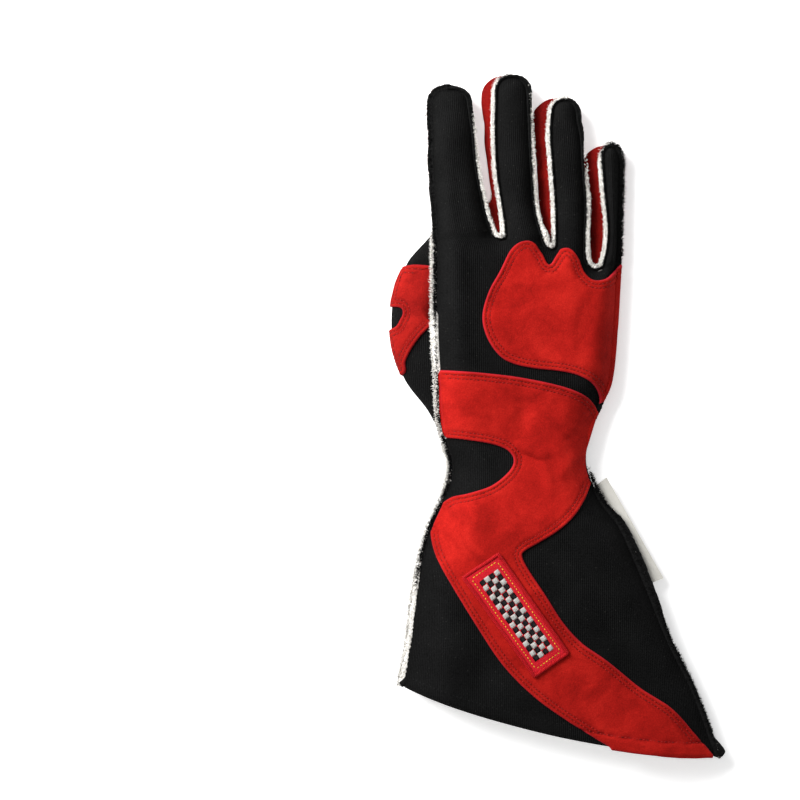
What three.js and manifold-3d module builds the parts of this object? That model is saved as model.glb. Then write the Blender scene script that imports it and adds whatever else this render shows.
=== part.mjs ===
// A racing glove for the right hand, lying palm down on a flat surface.
// It has a long flared gauntlet, a black knit back, a red suede palm, red suede trim and raw-edged seams
// that stand outside. The thumb is folded in under the palm, so the thumb side of the hand lies higher.
// Millimetres, +Z up. The fingers point along +Y and the thumb lies at -X. The origin is on the surface,
// under the middle of the glove's outline.
import * as THREE from "three";
import { mergeVertices } from "three/addons/utils/BufferGeometryUtils.js";
import Module from "manifold-3d";

const wasm = await Module();
wasm.setup();

// Cloth and leather thicknesses, and the gaps between the layers
const KNIT_WALL = 1.8;
const SUEDE_WALL = 1.2;
const PATCH_WALL = 1.4;
const LABEL_WALL = 0.8;
const LAYER_GAP = 0.3;

// Raw-edged seams: how far they stand out from the cloth, and how thick they are
const SIDE_SEAM_WIDTH = 3.2;
const FINGER_SEAM_WIDTH = 2.8;
const PALM_SEAM_WIDTH = 1.2;
const THUMB_SEAM_THICK = 1.2;
const ROOT_SEAM_WIDTH = 2;
const ROOT_SEAM_THICK = 1.6;
const SEAM_THICK = 2.2;
const SEAM_HALF_GAP = 1.9; // from a side seam's middle to the edge of the cloth above or below it

// Rounding: the exponent of the curve by which a panel turns down to its seam
const EDGE_ROUNDING = 2.2;
const IDW_POWER = 3;

// The back panel from the mouth of the gauntlet to the webs of the fingers. Left is the thumb side.
// seam is the height of the side seam, crown the height of the cloth inside it, round how far in it turns.
const BACK_ROWS = [
  { leftX: -89.5, leftY: -156.5, rightX: 91.5, rightY: -196, sag: 8, seamLeft: 9, seamRight: 8, crownLeft: 24, crownRight: 20, round: 40 },
  { leftX: -84.5, leftY: -128.5, rightX: 79, rightY: -161.5, sag: 6, seamLeft: 10, seamRight: 9, crownLeft: 27, crownRight: 24, round: 40 },
  { leftX: -81, leftY: -99.5, rightX: 63, rightY: -128.5, sag: 4, seamLeft: 11, seamRight: 10, crownLeft: 29, crownRight: 27, round: 36 },
  { leftX: -75, leftY: -70.5, rightX: 50, rightY: -96.5, sag: 3, seamLeft: 11.5, seamRight: 10.5, crownLeft: 30, crownRight: 28, round: 30 },
  { leftX: -67, leftY: -51, rightX: 36, rightY: -64.5, sag: 2, seamLeft: 11.5, seamRight: 10, crownLeft: 29, crownRight: 27, round: 26 },
  { leftX: -62, leftY: -38.5, rightX: 24, rightY: -48, sag: 1, seamLeft: 11.5, seamRight: 10, crownLeft: 27, crownRight: 25, round: 22 },
  { leftX: -60.5, leftY: -26, rightX: 16, rightY: -28.5, sag: 0, seamLeft: 12, seamRight: 10, crownLeft: 26, crownRight: 24, round: 20 },
  { leftX: -64.5, leftY: -11.5, rightX: 17, rightY: -8, sag: 0, seamLeft: 13, seamRight: 10, crownLeft: 27, crownRight: 23, round: 20 },
  { leftX: -67, leftY: 2, rightX: 22.5, rightY: 6.5, sag: 0, seamLeft: 14.5, seamRight: 9.5, crownLeft: 29, crownRight: 23, round: 20 },
  { leftX: -68, leftY: 22.5, rightX: 29, rightY: 22.5, sag: 0, seamLeft: 17, seamRight: 9, crownLeft: 32, crownRight: 23, round: 18 },
  { leftX: -69.5, leftY: 51.5, rightX: 32, rightY: 51.5, sag: 0, seamLeft: 18, seamRight: 8.5, crownLeft: 33, crownRight: 23, round: 16 },
  { leftX: -69.5, leftY: 80.5, rightX: 33.5, rightY: 77.5, sag: 0, seamLeft: 18, seamRight: 8, crownLeft: 33, crownRight: 22.5, round: 14 },
  { leftX: -69.5, leftY: 103, rightX: 34.5, rightY: 91, sag: 0, seamLeft: 17, seamRight: 7.5, crownLeft: 31, crownRight: 21, round: 12 },
];

// The fingers of the back panel, from the web to the shoulder of the tip. slitSeam is the height of the seam
// beside another finger, and seam that of the side seam on the index and little fingers.
const BACK_FINGERS = [
  {
    name: "index", columns: 6, web: { x: -33.5, y: 103, z: 21.5 }, tip: { x: -62.5, y: 191.5, z: 9 }, round: 10,
    rows: [
      { leftX: -70, leftY: 108, rightX: -39.2, rightY: 108, seam: 16.5, slitSeam: 20.5, crown: 30 },
      { leftX: -70, leftY: 116.5, rightX: -42.2, rightY: 116.5, seam: 15.3, slitSeam: 18.6, crown: 28.5 },
      { leftX: -71, leftY: 129.5, rightX: -45, rightY: 129.5, seam: 13, slitSeam: 16, crown: 25 },
      { leftX: -72, leftY: 147, rightX: -48, rightY: 147, seam: 10.5, slitSeam: 13.8, crown: 21 },
      { leftX: -72.5, leftY: 167.5, rightX: -50, rightY: 167.5, seam: 8.8, slitSeam: 12.6, crown: 18 },
      { leftX: -73, leftY: 182, rightX: -52, rightY: 182, seam: 8, slitSeam: 11.6, crown: 16.5 },
    ],
  },
  {
    name: "middle", columns: 5, web: { x: -4, y: 97.5, z: 18 }, tip: { x: -26.5, y: 198.5, z: 9 }, round: 9,
    rows: [
      { leftX: -30, leftY: 106, rightX: -10, rightY: 106, seam: 9, slitSeam: 18.4, crown: 25.5 },
      { leftX: -30.5, leftY: 114, rightX: -12.5, rightY: 114, seam: 9, slitSeam: 16, crown: 23.5 },
      { leftX: -32.3, leftY: 126.5, rightX: -14.5, rightY: 126.5, seam: 9, slitSeam: 13.2, crown: 20.5 },
      { leftX: -34.8, leftY: 144, rightX: -15.5, rightY: 144, seam: 9, slitSeam: 12.6, crown: 18.5 },
      { leftX: -35.8, leftY: 164.5, rightX: -16.6, rightY: 164.5, seam: 9, slitSeam: 12.5, crown: 17.2 },
      { leftX: -35.4, leftY: 187.5, rightX: -17.5, rightY: 187.5, seam: 9, slitSeam: 11.6, crown: 16.5 },
    ],
  },
  {
    name: "ring", columns: 4, web: { x: 21.5, y: 86, z: 15.5 }, tip: { x: 4.5, y: 185, z: 9 }, round: 8,
    rows: [
      { leftX: -0.8, leftY: 101, rightX: 15, rightY: 95.5, seam: 9, slitSeam: 16, crown: 22 },
      { leftX: -0.6, leftY: 110.5, rightX: 15.2, rightY: 106.5, seam: 9, slitSeam: 14.4, crown: 20.6 },
      { leftX: -1, leftY: 126.5, rightX: 16, rightY: 124, seam: 9, slitSeam: 12.6, crown: 18.6 },
      { leftX: -2.5, leftY: 147, rightX: 14.5, rightY: 144, seam: 9, slitSeam: 12.4, crown: 17.4 },
      { leftX: -3.8, leftY: 165, rightX: 13.5, rightY: 162.5, seam: 9, slitSeam: 12, crown: 16.8 },
      { leftX: -3, leftY: 175.5, rightX: 11.5, rightY: 173, seam: 9, slitSeam: 11.5, crown: 16 },
    ],
  },
  {
    name: "little", columns: 3, web: null, tip: { x: 31, y: 158, z: 9 }, round: 7,
    rows: [
      { leftX: 27, leftY: 90.5, rightX: 34.8, rightY: 97.5, seam: 7.5, slitSeam: 14.2, crown: 20 },
      { leftX: 29.3, leftY: 100.5, rightX: 35, rightY: 106, seam: 7.5, slitSeam: 12.8, crown: 19 },
      { leftX: 29.6, leftY: 113.5, rightX: 35.3, rightY: 116.5, seam: 7.2, slitSeam: 12.6, crown: 18 },
      { leftX: 27.8, leftY: 132, rightX: 36, rightY: 132.5, seam: 7, slitSeam: 12.2, crown: 17 },
      { leftX: 26.6, leftY: 148, rightX: 36.2, rightY: 148, seam: 7, slitSeam: 11.6, crown: 16.2 },
    ],
  },
];

// The palm panel from the wrist to the webs. On its left edge it is sewn to the front of the thumb, up to
// the crotch. floor is the height of its underside, and gather how deep the elastic puckers it.
const PALM_ROWS = [
  { leftX: -48.5, leftY: -9.4, rightX: 17.4, rightY: -7, edgeLeft: 4.5, seamRight: 10, floorLeft: 2.2, floorRight: 2.2, round: 9, gather: 3.6 },
  { leftX: -52, leftY: 3, rightX: 21.8, rightY: 5.5, edgeLeft: 4.8, seamRight: 9.6, floorLeft: 1.8, floorRight: 1.8, round: 11, gather: 2 },
  { leftX: -48.5, leftY: 23.5, rightX: 28.8, rightY: 23.5, edgeLeft: 4.5, seamRight: 9, floorLeft: 1.5, floorRight: 1.5, round: 12, gather: 0.3 },
  { leftX: -40, leftY: 42.5, rightX: 31, rightY: 42.5, edgeLeft: 4.5, seamRight: 8.6, floorLeft: 1.5, floorRight: 1.5, round: 12, gather: 0 },
  { leftX: -39, leftY: 60, rightX: 32.4, rightY: 60, edgeLeft: 7, seamRight: 8.4, floorLeft: 5.5, floorRight: 1.5, round: 12, gather: 0 },
  { leftX: -46.5, leftY: 77.5, rightX: 33.3, rightY: 75, edgeLeft: 13, seamRight: 8.1, floorLeft: 13, floorRight: 1.5, round: 12, gather: 0 },
  { leftX: -58, leftY: 88, rightX: 34, rightY: 84, edgeLeft: 15.4, seamRight: 7.8, floorLeft: 16.2, floorRight: 1.5, round: 12, gather: 0 },
  { leftX: -69, leftY: 96, rightX: 34.4, rightY: 91, edgeLeft: 15.2, seamRight: 7.6, floorLeft: 16.2, floorRight: 1.5, round: 12, gather: 0 },
  { leftX: -69.8, leftY: 106, rightX: 34.8, rightY: 98, edgeLeft: 14.9, seamRight: 7.5, floorLeft: 16, floorRight: 1.5, round: 11, gather: 0 },
  { leftX: -70, leftY: 118, rightX: 35, rightY: 104, edgeLeft: 13.2, seamRight: 7.4, floorLeft: 14.2, floorRight: 1.5, round: 10, gather: 0 },
];
const FLOOR_RAMP = 0.5; // share of the palm's width over which its lifted side comes down to the surface

// The fingers of the palm panel. They lean, so these lie to the left of the fingers' tops.
const PALM_FINGERS = [
  {
    name: "index", columns: 6, web: { x: -40.5, y: 125, z: 12 }, tip: { x: -62, y: 191, z: 5.8 }, round: 9,
    rows: [
      { leftX: -71, leftY: 131, rightX: -44.6, rightY: 131.5, seam: 12.8, slitSeam: 11, crown: 9 },
      { leftX: -72, leftY: 147, rightX: -46.5, rightY: 147, seam: 10.5, slitSeam: 7.6, crown: 4.5 },
      { leftX: -72.5, leftY: 167.5, rightX: -48.8, rightY: 167.5, seam: 8.8, slitSeam: 5.2, crown: 1.2 },
      { leftX: -73, leftY: 182, rightX: -51, rightY: 182, seam: 8, slitSeam: 5, crown: 0 },
    ],
  },
  {
    name: "middle", columns: 6, web: { x: -12, y: 115.5, z: 6 }, tip: { x: -29, y: 198, z: 5.8 }, round: 9,
    rows: [
      { leftX: -37.6, leftY: 131.5, rightX: -13.8, rightY: 124, seam: 9, slitSeam: 7.7, crown: 1.7 },
      { leftX: -39.5, leftY: 147, rightX: -14.8, rightY: 144, seam: 9, slitSeam: 5, crown: 0.5 },
      { leftX: -41, leftY: 165, rightX: -15.8, rightY: 164.5, seam: 9, slitSeam: 4.2, crown: 0 },
      { leftX: -40.5, leftY: 187, rightX: -17.3, rightY: 187, seam: 9, slitSeam: 5, crown: 0 },
    ],
  },
  {
    name: "ring", columns: 6, web: { x: 18.5, y: 104, z: 5.2 }, tip: { x: 2, y: 184.5, z: 5.8 }, round: 9,
    rows: [
      { leftX: -9.6, leftY: 124, rightX: 16, rightY: 114, seam: 9, slitSeam: 5.2, crown: 1.7 },
      { leftX: -10.4, leftY: 144, rightX: 15.2, rightY: 138, seam: 9, slitSeam: 4.2, crown: 0 },
      { leftX: -11.6, leftY: 163, rightX: 13.6, rightY: 161, seam: 9, slitSeam: 4.2, crown: 0 },
      { leftX: -10, leftY: 175, rightX: 11.8, rightY: 173, seam: 9, slitSeam: 5, crown: 0 },
    ],
  },
  {
    name: "little", columns: 5, web: null, tip: { x: 28.5, y: 157.5, z: 5.8 }, round: 8,
    rows: [
      { leftX: 20.6, leftY: 114, rightX: 35.3, rightY: 116.5, seam: 7.2, slitSeam: 5, crown: 1.7 },
      { leftX: 19.4, leftY: 132, rightX: 36, rightY: 132.5, seam: 7, slitSeam: 4.2, crown: 0 },
      { leftX: 19, leftY: 147.5, rightX: 36.2, rightY: 148, seam: 7, slitSeam: 5, crown: 0 },
    ],
  },
];

// The underside of the gauntlet, from the mouth to the wrist seam, where elastic gathers it.
const UNDER_ROWS = [
  { leftX: -89.5, leftY: -156.5, rightX: 91.5, rightY: -196, sag: 7, seamLeft: 9, seamRight: 8, round: 34, floor: 0, gather: 0 },
  { leftX: -84.5, leftY: -128.5, rightX: 79, rightY: -161.5, sag: 6, seamLeft: 10, seamRight: 9, round: 34, floor: 0, gather: 0.2 },
  { leftX: -81, leftY: -99.5, rightX: 63, rightY: -128.5, sag: 4, seamLeft: 11, seamRight: 10, round: 30, floor: 0, gather: 0.8 },
  { leftX: -75, leftY: -70.5, rightX: 50, rightY: -96.5, sag: 3, seamLeft: 11.5, seamRight: 10.5, round: 24, floor: 0, gather: 2 },
  { leftX: -67, leftY: -51, rightX: 36, rightY: -64.5, sag: 2, seamLeft: 11.5, seamRight: 10, round: 18, floor: 0, gather: 3.4 },
  { leftX: -62, leftY: -38.5, rightX: 24, rightY: -48, sag: 1, seamLeft: 11.5, seamRight: 10, round: 14, floor: 0.4, gather: 4.2 },
  { leftX: -60.5, leftY: -26, rightX: 16, rightY: -28.5, sag: 0, seamLeft: 12, seamRight: 10, round: 12, floor: 1, gather: 4.6 },
  { leftX: -64, leftY: -10.3, rightX: 17, rightY: -7.8, sag: 0, seamLeft: 12.6, seamRight: 10, round: 10, floor: 2.2, gather: 3.6 },
];
const UNDER_COLUMNS = 24;
const UNDER_FOLDS = 8;
const PALM_FOLDS = 6.5;
const PALM_FOLD_SHIFT = 1.53; // folds of the gauntlet to the left of the palm's edge

// The back of the thumb, from the wrist to the tip. Each row runs from the side seam or the thumb's far side,
// over the top, round the outline and under to the seam with the front of the thumb.
const THUMB_BACK_ROWS = [
  { y: -8.5, rightX: -65.5, rightZ: 11, shoulderZ: 10.8, crownZ: 10.3, leftX: -68, sideZ: 6.5, underX: -51.5, underZ: 3 },
  { y: 5, rightX: -68.3, rightZ: 13.2, shoulderZ: 13, crownZ: 12.5, leftX: -75.5, sideZ: 7, underX: -61, underZ: 2.2 },
  { y: 22, rightX: -69.2, rightZ: 15.2, shoulderZ: 15, crownZ: 14, leftX: -88.5, sideZ: 7.5, underX: -74.5, underZ: 2.2 },
  { y: 42, rightX: -70.2, rightZ: 15.6, shoulderZ: 15.2, crownZ: 14.2, leftX: -95.5, sideZ: 7.5, underX: -86, underZ: 2.2 },
  { y: 62, rightX: -70.5, rightZ: 15.6, shoulderZ: 15, crownZ: 14, leftX: -96.5, sideZ: 7.5, underX: -88.5, underZ: 2.2 },
  { y: 77, rightX: -70.3, rightZ: 15.4, shoulderZ: 14.8, crownZ: 13.8, leftX: -93.5, sideZ: 7, underX: -86.5, underZ: 2.2 },
  { y: 84, rightX: -69.4, rightZ: 14.7, shoulderZ: 14.4, crownZ: 13.7, leftX: -91, sideZ: 7, underX: -84, underZ: 2.2 },
  { y: 88.5, rightX: -61, rightZ: 14.2, shoulderZ: 14.2, crownZ: 13.7, leftX: -88.5, sideZ: 7, underX: -82, underZ: 2.2 },
  { y: 94, rightX: -54, rightZ: 8.4, shoulderZ: 12.4, crownZ: 13.7, leftX: -85.2, sideZ: 7, underX: -79, underZ: 2.2 },
  { y: 103, rightX: -53.6, rightZ: 7.4, shoulderZ: 10.8, crownZ: 12.6, leftX: -77, sideZ: 6.5, underX: -72, underZ: 2.4 },
  { y: 109, rightX: -56, rightZ: 6.8, shoulderZ: 9, crownZ: 10.2, leftX: -71.8, sideZ: 5.8, underX: -68.4, underZ: 2.8 },
  { y: 113.2, rightX: -60.5, rightZ: 5.8, shoulderZ: 6.4, crownZ: 6.8, leftX: -67.8, sideZ: 5.4, underX: -66.5, underZ: 4.4 },
];
const THUMB_BACK_COLUMNS = 10;

// The front of the thumb, from its lower point to its tip. It lies on the surface.
const THUMB_FRONT_ROWS = [
  { leftX: -52.2, leftY: -5, rightX: -50.8, rightY: -5, edgeLeft: 3.6, edgeRight: 4.4, floor: 3.6, round: 4 },
  { leftX: -62.6, leftY: 10, rightX: -52.8, rightY: 10, edgeLeft: 2.6, edgeRight: 4.4, floor: 1, round: 6 },
  { leftX: -71.8, leftY: 23, rightX: -49.8, rightY: 23, edgeLeft: 2.4, edgeRight: 4.4, floor: 0, round: 8 },
  { leftX: -82.6, leftY: 42.5, rightX: -41.3, rightY: 42.5, edgeLeft: 2.2, edgeRight: 4.6, floor: 0, round: 9 },
  { leftX: -85, leftY: 61, rightX: -40.3, rightY: 60.5, edgeLeft: 2.2, edgeRight: 6.6, floor: 0, round: 9 },
  { leftX: -82.8, leftY: 77, rightX: -47.4, rightY: 77.5, edgeLeft: 2.2, edgeRight: 11.6, floor: 0, round: 9 },
  { leftX: -79.4, leftY: 86, rightX: -52.8, rightY: 85, edgeLeft: 2.2, edgeRight: 12, floor: 0, round: 9 },
  { leftX: -75.8, leftY: 94, rightX: -54.8, rightY: 93, edgeLeft: 2.2, edgeRight: 5.4, floor: 0, round: 9 },
  { leftX: -69.4, leftY: 103, rightX: -55.4, rightY: 103, edgeLeft: 2.4, edgeRight: 4.4, floor: 0, round: 7 },
  { leftX: -66.4, leftY: 108.5, rightX: -57.8, rightY: 108.5, edgeLeft: 2.6, edgeRight: 3.8, floor: 0.8, round: 6 },
  { leftX: -64.8, leftY: 112, rightX: -61, rightY: 112, edgeLeft: 3, edgeRight: 3.4, floor: 2.8, round: 6 },
];
const THUMB_FRONT_COLUMNS = 4;

// Outlines of the suede overlays, each a row of smooth runs that meet at corners. Where a run goes past the
// edge of the panel below, the overlay ends at that edge, in the seam.
const KNUCKLE_OUTLINE = [
  [[37, 2], [37, 40], [37, 92]],
  [[37, 92], [34, 86], [28, 80.5], [21.5, 79.5], [16, 84], [12.5, 92.5], [8.5, 97.8], [4, 98.2], [0.5, 94.5], [-4, 89.5], [-8.5, 95.5], [-14, 101.8], [-20.5, 101.5], [-27, 96], [-33.5, 84.5], [-40, 73], [-44, 59], [-41.5, 47], [-35, 36.5], [-26.5, 31.5], [-14, 28.8], [0, 27.3], [11, 24.8], [19.5, 20], [24, 12], [23.5, 2]],
];
const STRAP_OUTLINE = [
  [[-76, 28.3], [-60.5, 27.5], [-42, 26], [-23.5, 23.8], [-5, 20.2], [8, 16.5], [17, 11.8], [22.5, 5], [26, -2]],
  [[26, -2], [24, -20], [19.5, -36]],
  [[19.5, -36], [14.5, -47], [8, -56.5], [-1, -64.5], [-12, -71.2], [-20, -75.8], [-21.5, -79], [-18, -86.5], [-8, -101.5], [2, -117], [13, -129], [27, -139], [46.5, -155], [65, -167.5], [79, -183], [92, -199], [100, -212]],
  [[100, -212], [66, -216], [34, -212]],
  [[34, -212], [31.5, -192.5], [21, -184.3], [5, -174.3], [-14, -160.5], [-31, -143.5], [-45.5, -122.5], [-59.5, -99.5], [-69, -82.5], [-72.6, -71.5], [-73, -62], [-69, -52.5], [-61.5, -46], [-51, -43], [-38.5, -38.3], [-29, -30.5], [-26.2, -24], [-29.5, -18.5], [-37.5, -15], [-49, -12.7], [-60, -11.3], [-76, -11]],
];
const THUMB_OVERLAY_OUTLINE = [
  [[-74.8, 88.8], [-83, 89.4], [-100, 86]],
  [[-100, 86], [-102, 64.5]],
  [[-102, 64.5], [-92.4, 64.6], [-89.8, 61.5], [-91.6, 57], [-95, 52.5], [-102, 48]],
  [[-102, 48], [-102, 20]],
  [[-102, 20], [-89.5, 25.5], [-88.3, 33], [-84.5, 41], [-79, 48.5], [-74.8, 52.5]],
];
const PALM_OVERLAY_OUTLINE = [
  [[-66, 104], [-66.5, 118], [-64.5, 127], [-59, 129.8], [-53.5, 126.5], [-47.5, 119.5], [-42.5, 117.3], [-38.5, 121], [-34.5, 129], [-29.5, 132.5], [-24.5, 128], [-20, 118], [-14.5, 112.5], [-10.5, 115.5], [-5.5, 121.5], [-0.5, 121], [4, 111.5], [9.5, 102.5], [15.5, 97.5], [21, 100.5], [25, 105.5], [28.3, 101.5], [28.8, 88], [26, 65], [20.5, 42], [11, 25], [-1, 17.5], [-15, 16.2], [-27.5, 22], [-34, 35], [-35.3, 52], [-35.8, 70], [-39.5, 80.5], [-48, 88], [-58, 93.5], [-64.5, 97.5]],
];

// The woven patch on the strap and the blank label in the little finger's side seam
const PATCH = { x: -25, y: -112.6, width: 25, length: 71, turn: 35.4, corner: 1.5 };
const LABEL = { innerStartY: -40, innerEndY: -97, outerStart: [29, -34.5], outerEnd: [62.5, -93.5], droop: 2.6, steps: 6 };

const OUTLINE_STEP = 4; // spacing of the points of an overlay's outline
const TIP_STOP = 0.15; // share of the last step by which a seam stops short of a fingertip's middle
const CAP_ROWS = [0.42, 0.76, 1]; // rows of a fingertip, as shares of its length
const CAP_END_WIDTH = 0.42; // width of a fingertip's last row, as a share of the shoulder's

const knit = new THREE.MeshStandardMaterial({ color: 0x17181a, roughness: 0.95, metalness: 0 });
const redSuede = new THREE.MeshStandardMaterial({ color: 0xb02320, roughness: 0.92, metalness: 0 });
const blackSuede = new THREE.MeshStandardMaterial({ color: 0x141414, roughness: 0.95, metalness: 0 });
const fleece = new THREE.MeshStandardMaterial({ color: 0xe4e2da, roughness: 1, metalness: 0 });
const wovenRed = new THREE.MeshStandardMaterial({ color: 0xc8242f, roughness: 0.8, metalness: 0 });
const labelTape = new THREE.MeshStandardMaterial({ color: 0xe9e8e2, roughness: 0.7, metalness: 0 });

const lerp = THREE.MathUtils.lerp;
const smoothstep = THREE.MathUtils.smoothstep;

// The columns of a table at t, where t counts rows, along smooth curves through the rows.
function rowAt(rows, t) {
  const i = Math.min(Math.floor(t), rows.length - 2);
  const s = t - i;
  const around = [rows[Math.max(i - 1, 0)], rows[i], rows[i + 1], rows[Math.min(i + 2, rows.length - 1)]];
  const row = {};
  for (const key of Object.keys(rows[0])) {
    const [a, b, c, d] = around.map((r) => r[key]);
    row[key] = b + 0.5 * s * (c - a + s * (2 * a - 5 * b + 4 * c - d + s * (3 * (b - c) + d - a)));
  }
  return row;
}

// A cloth panel: vertices with a place in plan, then faces, then the outline that is sewn.
class Panel {
  constructor(facing) {
    this.facing = facing; // +1 where the outside of the cloth looks up, -1 where it looks down
    this.vertices = [];
    this.quads = [];
    this.sewn = []; // runs of vertex indices
  }

  add(x, y, level, round, edge = null) {
    this.vertices.push({ x, y, z: 0, level, round, edge });
    return this.vertices.length - 1;
  }

  // Faces between two rows of vertex indices, the second further along +Y.
  join(lower, upper) {
    for (let j = 0; j + 1 < lower.length; j++) {
      this.quads.push([lower[j], lower[j + 1], upper[j + 1], upper[j]]);
    }
  }

  // Heights: a sewn edge keeps its own, and the cloth inside rises or falls from there to its level.
  settle() {
    const edges = [];
    for (const run of this.sewn) {
      for (let i = 0; i + 1 < run.length; i++) edges.push([this.vertices[run[i]], this.vertices[run[i + 1]]]);
    }
    for (const v of this.vertices) {
      if (v.edge !== null) {
        v.z = v.edge;
        continue;
      }
      let nearest = Infinity;
      let weights = 0;
      let heights = 0;
      for (const [a, b] of edges) {
        const dx = b.x - a.x;
        const dy = b.y - a.y;
        const s = THREE.MathUtils.clamp(((v.x - a.x) * dx + (v.y - a.y) * dy) / (dx * dx + dy * dy), 0, 1);
        const away = Math.hypot(v.x - a.x - s * dx, v.y - a.y - s * dy);
        const weight = Math.hypot(dx, dy) / Math.pow(away + 0.01, IDW_POWER);
        nearest = Math.min(nearest, away);
        weights += weight;
        heights += weight * lerp(a.edge, b.edge, s);
      }
      const rise = 1 - Math.pow(1 - Math.min(nearest / v.round, 1), EDGE_ROUNDING);
      v.z = lerp(heights / weights, v.level, rise);
    }
    return this;
  }

  triangles() {
    return this.quads.flatMap(([a, b, c, d]) => (this.facing > 0 ? [[a, b, c], [a, c, d]] : [[a, c, b], [a, d, c]]));
  }

  // The closed solid between two offsets from the panel's outside, along its normals.
  solid(inner, outer) {
    const faces = this.triangles();
    const points = this.vertices.map((v) => new THREE.Vector3(v.x, v.y, v.z));
    const normals = points.map(() => new THREE.Vector3());
    for (const [a, b, c] of faces) {
      const across = points[b].clone().sub(points[a]);
      const normal = across.cross(points[c].clone().sub(points[a]));
      for (const i of [a, b, c]) normals[i].add(normal);
    }
    normals.forEach((n) => n.normalize());
    const layer = (offset) => points.map((p, i) => p.clone().addScaledVector(normals[i], offset));
    return closedBetween(layer(inner), layer(outer), faces);
  }
}

// A closed geometry from two layers of matching points, the faces of the second facing out.
function closedBetween(under, over, faces) {
  const count = under.length;
  const index = [];
  const open = new Map();
  for (const [a, b, c] of faces) {
    index.push(a + count, b + count, c + count, a, c, b);
    for (const [p, q] of [[a, b], [b, c], [c, a]]) {
      if (!open.delete(q * count + p)) open.set(p * count + q, [p, q]);
    }
  }
  for (const [p, q] of open.values()) index.push(p, q, q + count, p, q + count, p + count);
  const geometry = new THREE.BufferGeometry().setFromPoints([...under, ...over]);
  geometry.setIndex(index);
  return geometry;
}

// Vertices of a panel's body, row by row. Its left and right edges are sewn.
function addBody(panel, rows, stepsPerRow, shares, describe) {
  const grid = [];
  const last = rows.length - 1;
  for (let k = 0; k <= last * stepsPerRow; k++) {
    const row = rowAt(rows, k / stepsPerRow);
    const line = shares.map((share, j) => {
      const x = lerp(row.leftX, row.rightX, share);
      const y = lerp(row.leftY, row.rightY, share) - (row.sag ?? 0) * 4 * share * (1 - share);
      const { level, left, right } = describe(row, share);
      const edge = j === 0 ? left : j === shares.length - 1 ? right : null;
      return panel.add(x, y, level, row.round, edge);
    });
    if (k > 0) panel.join(grid[k - 1], line);
    grid.push(line);
  }
  return grid;
}

// A finger on top of the body's last row: its two edges, and the row of its tip between them.
function addFinger(panel, finger, base, seamOffset, isFirst, isLast) {
  const left = [];
  const right = [];
  let below = base;
  const shoulder = finger.rows[finger.rows.length - 1];
  const addRow = (row, leftEdge, rightEdge) => {
    const line = base.map((_, j) => {
      const share = j / (base.length - 1);
      const edge = j === 0 ? leftEdge : j === base.length - 1 ? rightEdge : null;
      return panel.add(lerp(row.leftX, row.rightX, share), lerp(row.leftY, row.rightY, share), row.crown, finger.round, edge);
    });
    panel.join(below, line);
    left.push(line[0]);
    right.push(line[line.length - 1]);
    below = line;
    return line;
  };
  for (const row of finger.rows) {
    const side = row.seam + seamOffset;
    addRow(row, isFirst ? side : row.slitSeam, isLast ? side : row.slitSeam);
  }
  const middleX = (shoulder.leftX + shoulder.rightX) / 2;
  const middleY = (shoulder.leftY + shoulder.rightY) / 2;
  let tipRow = below;
  for (const part of CAP_ROWS) {
    const width = Math.max(Math.pow(1 - Math.pow(part, 2.4), 1 / 2.4), CAP_END_WIDTH);
    const centreX = lerp(middleX, finger.tip.x, part);
    const centreY = lerp(middleY, finger.tip.y, part);
    const halfX = (width * (shoulder.rightX - shoulder.leftX)) / 2;
    const halfY = ((1 - part) * (shoulder.rightY - shoulder.leftY)) / 2;
    const row = { leftX: centreX - halfX, leftY: centreY - halfY, rightX: centreX + halfX, rightY: centreY + halfY, crown: shoulder.crown };
    const side = lerp(shoulder.seam + seamOffset, finger.tip.z, part);
    const slit = lerp(shoulder.slitSeam, finger.tip.z, part);
    tipRow = addRow(row, isFirst ? side : slit, isLast ? side : slit);
  }
  for (const i of tipRow) panel.vertices[i].edge = finger.tip.z;
  return { left, right, tipRow };
}

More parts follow.
